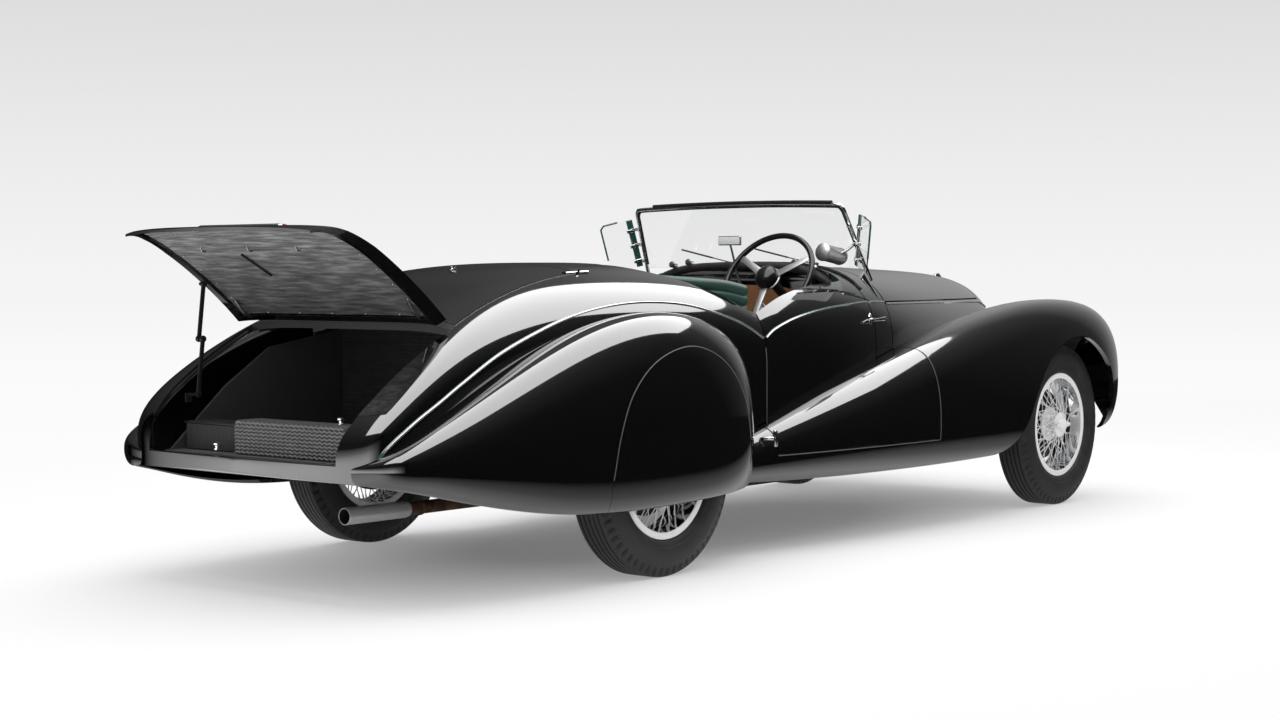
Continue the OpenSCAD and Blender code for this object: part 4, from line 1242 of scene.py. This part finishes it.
lidSetup = {"hooks": ((-2560, 300), (-2560, 60), (-2560, -180)), "prop": ((-2545, 130), (-2440, 105)),
            "hingeArm": ((-2232, 430, -4), (-2262, 430, -16), (-2320, 432, -6))}
studs = [(-2260 - i * 70, s * 440) for i in range(5) for s in (1, -1)]
studs += [(-2255, y) for y in range(-330, 331, 165)]
fittings = [moved(turned(dome(4, 3, 12, 4), 180, "X"), x, y, lidUnder(x, y, -3)) for x, y in studs]
for x, y in lidSetup["hooks"]:
    hook = [(x - back, y, lidUnder(x, y, drop)) for back, drop in ((0, -2), (6, -14), (20, -16), (28, -8))]
    fittings.append(tube(flowing(hook, 4), 2.6, 2))
propEnds = [(x, y, lidUnder(x, y, -6)) for x, y in lidSetup["prop"]]
fittings.append(coated(rod(*propEnds, 4, 8), 1))
for s in (1, -1):
    hingeArm = [(x, s * y, lidUnder(x, y, drop)) for x, y, drop in lidSetup["hingeArm"]]
    fittings.append(tube(flowing(hingeArm, 5), 6))
addPiece("lid_fittings", openLid(joined(*fittings)), "boot_lid", [silver, darkRail])

lampSetup = {"place": (-2610, 0, 590), "lean": -50, "low": (-66, -210, -60), "high": (44, 210, 40)}


def atLamp(bm):
    return moved(turned(bm, lampSetup["lean"], "Y"), *lampSetup["place"])


lampCase = (Solid(atLamp(block(lampSetup["low"], lampSetup["high"], 14, 4))) - tail).form()
platePane = atLamp(block((-52, -165, 38.5), (30, 165, 41), 1))
lampLens = [coated(atLamp(block((-40, y - 16, 36), (18, y + 16, 45), 5)), 2) for y in (187, -187)]
addPiece("plate_lamp", openLid(joined(lampCase, coated(platePane, 1), *lampLens)), "boot_lid",
         [chrome, plateWhite, lampRed], ["lid_lamp"])
print("boot fitted")

# folding stay of the lid: two flat links, an elbow pin and a bracket at each end
stay = {"foot": (-2500, 442, 640), "elbow": (-2478, 452, 830), "eye": (-2456, 463, 1020),
        "width": 9, "thick": 5}


def flatLink(start, end, y, s):
    a, b = Vector((start[0], y, start[2])), Vector((end[0], y, end[2]))
    link = rod(a, b, s["width"], 16)
    bmesh.ops.scale(link, vec=(1, s["thick"] / s["width"], 1), space=Matrix.Translation((0, -y, 0)),
                    verts=link.verts)
    forms = [link]
    for place in (a, b):
        knuckle = lathe([(0, -6), (11, -6), (12, 0), (11, 6), (0, 6)], 20)
        forms.append(moved(turned(knuckle, 90, "X"), *place))
    return joined(*forms)


def crossPin(point, start, end, radius, drop=0):
    return rod((point[0], start, point[2]), (point[0], end, point[2] - drop), radius, 16)


lowerLink = [flatLink(stay["foot"], stay["elbow"], 442, stay), crossPin(stay["elbow"], 432, 474, 7)]
addPiece("stay_lower_link", lowerLink, "stay_lower", darkRail, ["boot_stay_lower"])
upperLink = flatLink(stay["elbow"], stay["eye"], 463, stay)
addPiece("stay_upper_link", upperLink, "stay_upper", darkRail, ["boot_stay_upper"])
footX, _, footZ = stay["foot"]
footPlate = block((footX - 14, 494, footZ - 30), (footX + 14, 500, footZ + 2), 2.5)
addPiece("stay_foot", [crossPin(stay["foot"], 436, 504, 5, 6), footPlate], "body", darkRail)
addPiece("stay_eye", crossPin(stay["eye"], 455, 482, 6), "boot_lid", darkRail)

# grille and headlamps
grilleSetup = {"half": (145, 215), "middle": 616, "bars": 6, "spacing": 22}
halfY, halfZ = grilleSetup["half"]
turns = [a / 32 * math.pi for a in range(64)]
oval = [(1802, halfY * math.cos(a), grilleSetup["middle"] + halfZ * math.sin(a)) for a in turns]
grilleForms = [tube(oval, 7.5, 3, closed=True)]
for i in range(-grilleSetup["bars"], grilleSetup["bars"] + 1):
    y = i * grilleSetup["spacing"]
    rise = halfZ * math.sqrt(1 - (y / halfY) ** 2)
    bow = [(1796 + 7 * (1 - (k / 4) ** 2), y, grilleSetup["middle"] + rise * k / 4) for k in range(-4, 5)]
    grilleForms.append(tube(bow, 4.2, 2))
addPiece("grille_bars", grilleForms, "body", silverPaintedReflection, ["grille"])

headlamp = {"x": 1700, "y": 400, "z": 770}
lampForms, lensForms = [], []
for side, label in sides:
    shell = lathe([(0, -96), (34, -88), (66, -66), (86, -34), (92, 0), (92, 138), (95, 142), (97, 148),
                   (95, 154), (88, 156), (84, 150), (80, 140), (60, 112), (24, 92), (0, 88)], 48)
    lens = lathe([(0, 160), (30, 158), (58, 152), (78, 145), (84, 141), (80, 138), (0, 146)], 48)
    for form, keep in ((shell, lampForms), (lens, lensForms)):
        keep.append(moved(turned(form, 90, "Y"), headlamp["x"], side * headlamp["y"], headlamp["z"]))
addPiece("lamp_shells", lampForms, "body", chrome, ["headlamps"])
addPiece("lamp_lenses", lensForms, "body", glass)

# brightwork: bonnet hinge, fin, handles, hinges
bonnetTrim = {"bead": 3.2, "fin": [(1612, 0), (1640, 30), (1668, 40), (1690, 30), (1712, 0)]}
crown = [(x, 0, hullTop(foreRows, x, 0) - 1.5) for x in range(280, 1596, 47)]
fin = rounded(prism(bonnetTrim["fin"], 10, lambda a, b, d: (a, d - 5, hullTop(foreRows, a, 0) - 4 + b)), 3)
addPiece("bonnet_bead", [tube(crown, bonnetTrim["bead"], 3), fin], "body", chrome)

handle = {"x": 84, "z": 869}
handleX, handleZ = handle["x"], handle["z"]
for side, label in sides:
    face = hullSide(foreRows, handleX, handleZ)
    rose = placed(lathe([(0, 6), (7, 6), (12, 4), (14, 0), (0, -3)], 28), Matrix.Diagonal((0.8, 1.9, 1, 1)))
    rose = moved(turned(rose, -90, "X"), handleX, face, handleZ)
    stem = rod((handleX, face, handleZ), (handleX, face + 34, handleZ), 7, 16, tip=6)
    knobAt = (handleX + 52, face + 36, handleZ + 3)
    lever = rod((handleX - 34, face + 36, handleZ - 2), knobAt, 5, 16, tip=9)
    ball = moved(lathe([(0, -10), (7, -7), (10, 0), (7, 7), (0, 10)], 20), *knobAt)
    addPiece("door_handle_" + label, onSide(joined(rose, stem, lever, ball), side), "door_" + label,
             chrome)
    barrel = moved(lathe([(0, 0), (7, 0), (9, 3), (9, 57), (7, 60), (0, 60)], 24), *panels["doorPin"], 412)
    leaf = tube(flowing([(-790, 782, 442), (-805, 764, 442), (-812, 742, 440), (-806, 722, 436)], 5), 7, 4)
    addPiece("door_barrel_" + label, onSide(joined(barrel, leaf), side), "body", chrome)

deck = {"y": 400, "fixed": (-1478, -1452, -1424), "moving": (-1490, -1516, -1546), "lock": -1700}
strapForms, coverForms = [], []
for s in (1, -1):
    x, y = panels["coverHinge"], s * deck["y"]
    deckZ = hullTop(tailRows, x, y) + 5
    strapForms.append(rod((x, y - 16, deckZ), (x, y + 16, deckZ), 6.5, 16))
    flat = Matrix.Translation((0, y, 0)) @ Matrix.Diagonal((1, 2.4, 1, 1)) @ Matrix.Translation((0, -y, 0))
    for keep, run in ((strapForms, deck["fixed"]), (coverForms, deck["moving"])):
        strap = [(x, y, hullTop(tailRows, x, y) + 1.5) for x in run]
        keep.append(placed(tube(strap, 5, 3), flat))
addPiece("cover_hinges", strapForms, "body", chrome)
lock = lathe([(0, -4), (15, -4), (15, 2), (9, 4), (8, 7), (12, 9), (12, 12), (0, 14)], 28)
coverForms.append(moved(lock, deck["lock"], 0, hullTop(tailRows, deck["lock"], 0)))
addPiece("cover_straps", coverForms, "top_cover", chrome)
print("brightwork fitted")

# studio: pale floor and sky, and a dark dome and ring, a rear wall and a softbox that only reflections see
studio = {"floor": 90.0, "ambient": 0.82, "overhead": 330.0, "glow": (0.93, 0.16, 0.33),
          "softbox": {"level": 3.7, "height": 3.6,
                      "outline": [(-6.2, -2.85), (2.95, -2.85), (3.35, 0.7), (-6.2, 0.65)]},
          "rearWall": {"level": 2.0, "centre": -2.3, "radius": 3.6, "from": 95, "to": 242, "height": 2.2}}


def stagePiece(name, bm, finish):
    mesh = bpy.data.meshes.new(name)
    bm.to_mesh(mesh)
    bm.free()
    mesh.materials.append(finish)
    made = bpy.data.objects.new(name, mesh)
    scene.collection.objects.link(made)
    return made


def lightPath(f):
    # camera, mirror and glass rays see the backdrop, and the others are lit by it
    outputs = f.node("ShaderNodeLightPath").socket.node.outputs
    camera, mirror, through = [Wire(f.tree, outputs[name]) for name in
                               ("Is Camera Ray", "Is Glossy Ray", "Is Transmission Ray")]
    return camera + mirror + through


def addFloor(size):
    f = startFinish("studio_floor")
    bm = bmesh.new()
    bmesh.ops.create_grid(bm, x_segments=8, y_segments=8, size=size)
    far, near = f.vector("LENGTH", f.coords()), f.vector("LENGTH", f.coords((0.42, 1, 1)))
    fade = f.shade(near / 8.0, [(0.06, 0.15), (0.14, 0.42), (0.3, 0.75), (0.7, 1.0)])
    tone = f.shade(far / size, [(0.06, 0.97), (0.4, 0.925), (0.9, 0.905)])
    matt = f.node("ShaderNodeBsdfDiffuse", None, {"Color": f.mix(f.noise(0.7, 3.0), grey(0.9), grey(0.92))})
    both = f.node("ShaderNodeMixShader", None, {0: fade * lightPath(f), 1: matt, 2: f.glow(tone)})
    stagePiece("floor", bm, f.close(both))


def addWorld(s):
    world = bpy.data.worlds.new("studio")
    scene.world = world
    f = Finish(world, "ShaderNodeOutputWorld")
    height = f.axis("Z", f.node("ShaderNodeTexCoord", out="Generated"))
    sky = f.shade(height, [(0.0, 0.905), (0.062, 0.83), (0.135, 0.72), (0.5, 0.6)])
    ambient = f.node("ShaderNodeBackground", None, {"Color": grey(s["ambient"]), "Strength": 1.0})
    view = f.node("ShaderNodeBackground", None, {"Color": sky, "Strength": 1.0})
    f.close(f.node("ShaderNodeMixShader", None, {0: lightPath(f), 1: ambient, 2: view}))


def mirrorOnly(obj):
    obj.visible_camera = obj.visible_diffuse = obj.visible_transmission = obj.visible_shadow = False


def addFlags(s):
    # a dark dome with one glowing side, and a dark ring on the floor round the car
    f = startFinish("flag_dome")
    out = f.vector("NORMALIZE", f.coords())
    near = f.vector("DOT_PRODUCT", out, Vector(s["glow"]).normalized())
    lit = f.shade(near, [(0.7, 0.0), (0.87, 0.05), (0.955, 0.3), (1.0, 0.42)])
    over = f.shade(f.axis("Z", out), [(0.0, 0.012), (0.3, 0.02), (0.6, 0.08), (0.9, 0.2)])
    bowl = bmesh.new()
    bmesh.ops.create_uvsphere(bowl, u_segments=48, v_segments=24, radius=14)
    bmesh.ops.bisect_plane(bowl, geom=bowl.verts[:] + bowl.edges[:] + bowl.faces[:], plane_co=(0, 0, 0.004),
                           plane_no=(0, 0, 1), clear_inner=True)
    mirrorOnly(stagePiece("flag_dome", bowl, f.close(f.glow(f.mix(1.0, lit, over, "ADD")))))
    g = startFinish("flag_ring")
    place = g.vector("ADD", g.node("ShaderNodeTexCoord", out="Object"), (0.7, 0, 0))
    apart = g.vector("LENGTH", g.vector("MULTIPLY", place, (1 / 3.8, 1 / 1.16, 0)))
    behind = g.vector("DISTANCE", place, (-3.2, 0.9, 0))
    around = g.shade(apart / 4.0, [(0.2, 0.15), (0.29, 0.72), (0.4, 1.0)])
    dark = g.mix(1.0, around, g.shade(behind / 4.0, [(0.3, 0.15), (0.5, 1.0)]), "MULTIPLY")
    sheet = bmesh.new()
    bmesh.ops.create_grid(sheet, x_segments=4, y_segments=4, size=14)
    bmesh.ops.translate(sheet, vec=(0, 0, 0.003), verts=sheet.verts)
    clear, black = g.node("ShaderNodeBsdfTransparent"), g.glow(grey(0.012))
    both = g.node("ShaderNodeMixShader", None, {0: dark, 1: clear, 2: black})
    mirrorOnly(stagePiece("flag_ring", sheet, g.close(both)))


def addRearWall(s):
    # a low pale wall behind the tail, brightest near the floor
    f = startFinish("rear_wall")
    rise = f.shade(f.axis("Z") / s["height"], [(0.0, 1.0), (0.12, 0.85), (0.36, 0.32), (0.7, 0.02)])
    ends = f.shade(f.axis("Y") / 8.0 + 0.5, [(0.11, 0.0), (0.3, 1.0), (0.84, 1.0), (0.94, 0.0)])
    bm = bmesh.new()
    start = math.radians(s["from"])
    foot = bm.verts.new((s["radius"] * math.cos(start), s["radius"] * math.sin(start), 0.01))
    head = bm.verts.new((foot.co.x, foot.co.y, s["height"]))
    line = bm.edges.new((foot, head))
    bmesh.ops.spin(bm, geom=[foot, head, line], cent=(0, 0, 0), axis=(0, 0, 1),
                   angle=math.radians(s["to"] - s["from"]), steps=48)
    bmesh.ops.translate(bm, vec=(s["centre"], 0, 0), verts=bm.verts)
    glow = f.glow(f.mix(1.0, rise, ends, "MULTIPLY"), s["level"])
    mirrorOnly(stagePiece("rear_wall", bm, f.close(glow)))


def addSoftbox(s):
    # one long pale panel over the car, with a slanted front end
    f = startFinish("softbox")
    bm = bmesh.new()
    bm.faces.new([bm.verts.new((x + midX, y, s["height"])) for x, y in s["outline"]])
    mirrorOnly(stagePiece("softbox", bm, f.close(f.glow(grey(1.0), s["level"]))))


def addLamp(name, place, aim, size, power):
    data = bpy.data.lights.new(name, "AREA")
    data.shape, data.size, data.size_y, data.energy = "RECTANGLE", size[0], size[1], power
    lamp = bpy.data.objects.new(name, data)
    scene.collection.objects.link(lamp)
    lamp.location = Vector(place) + Vector((midX, 0, 0))
    lamp.rotation_euler = (Vector(aim) - Vector(place)).to_track_quat("-Z", "Y").to_euler()
    lamp.visible_camera = lamp.visible_transmission = lamp.visible_glossy = False


addFloor(studio["floor"])
addWorld(studio)
addFlags(studio)
addLamp("overhead", (-0.3, 0, 6.5), (-0.3, 0, 0), (9.0, 7.0), studio["overhead"])
addRearWall(studio["rearWall"])
addSoftbox(studio["softbox"])
print("studio set")
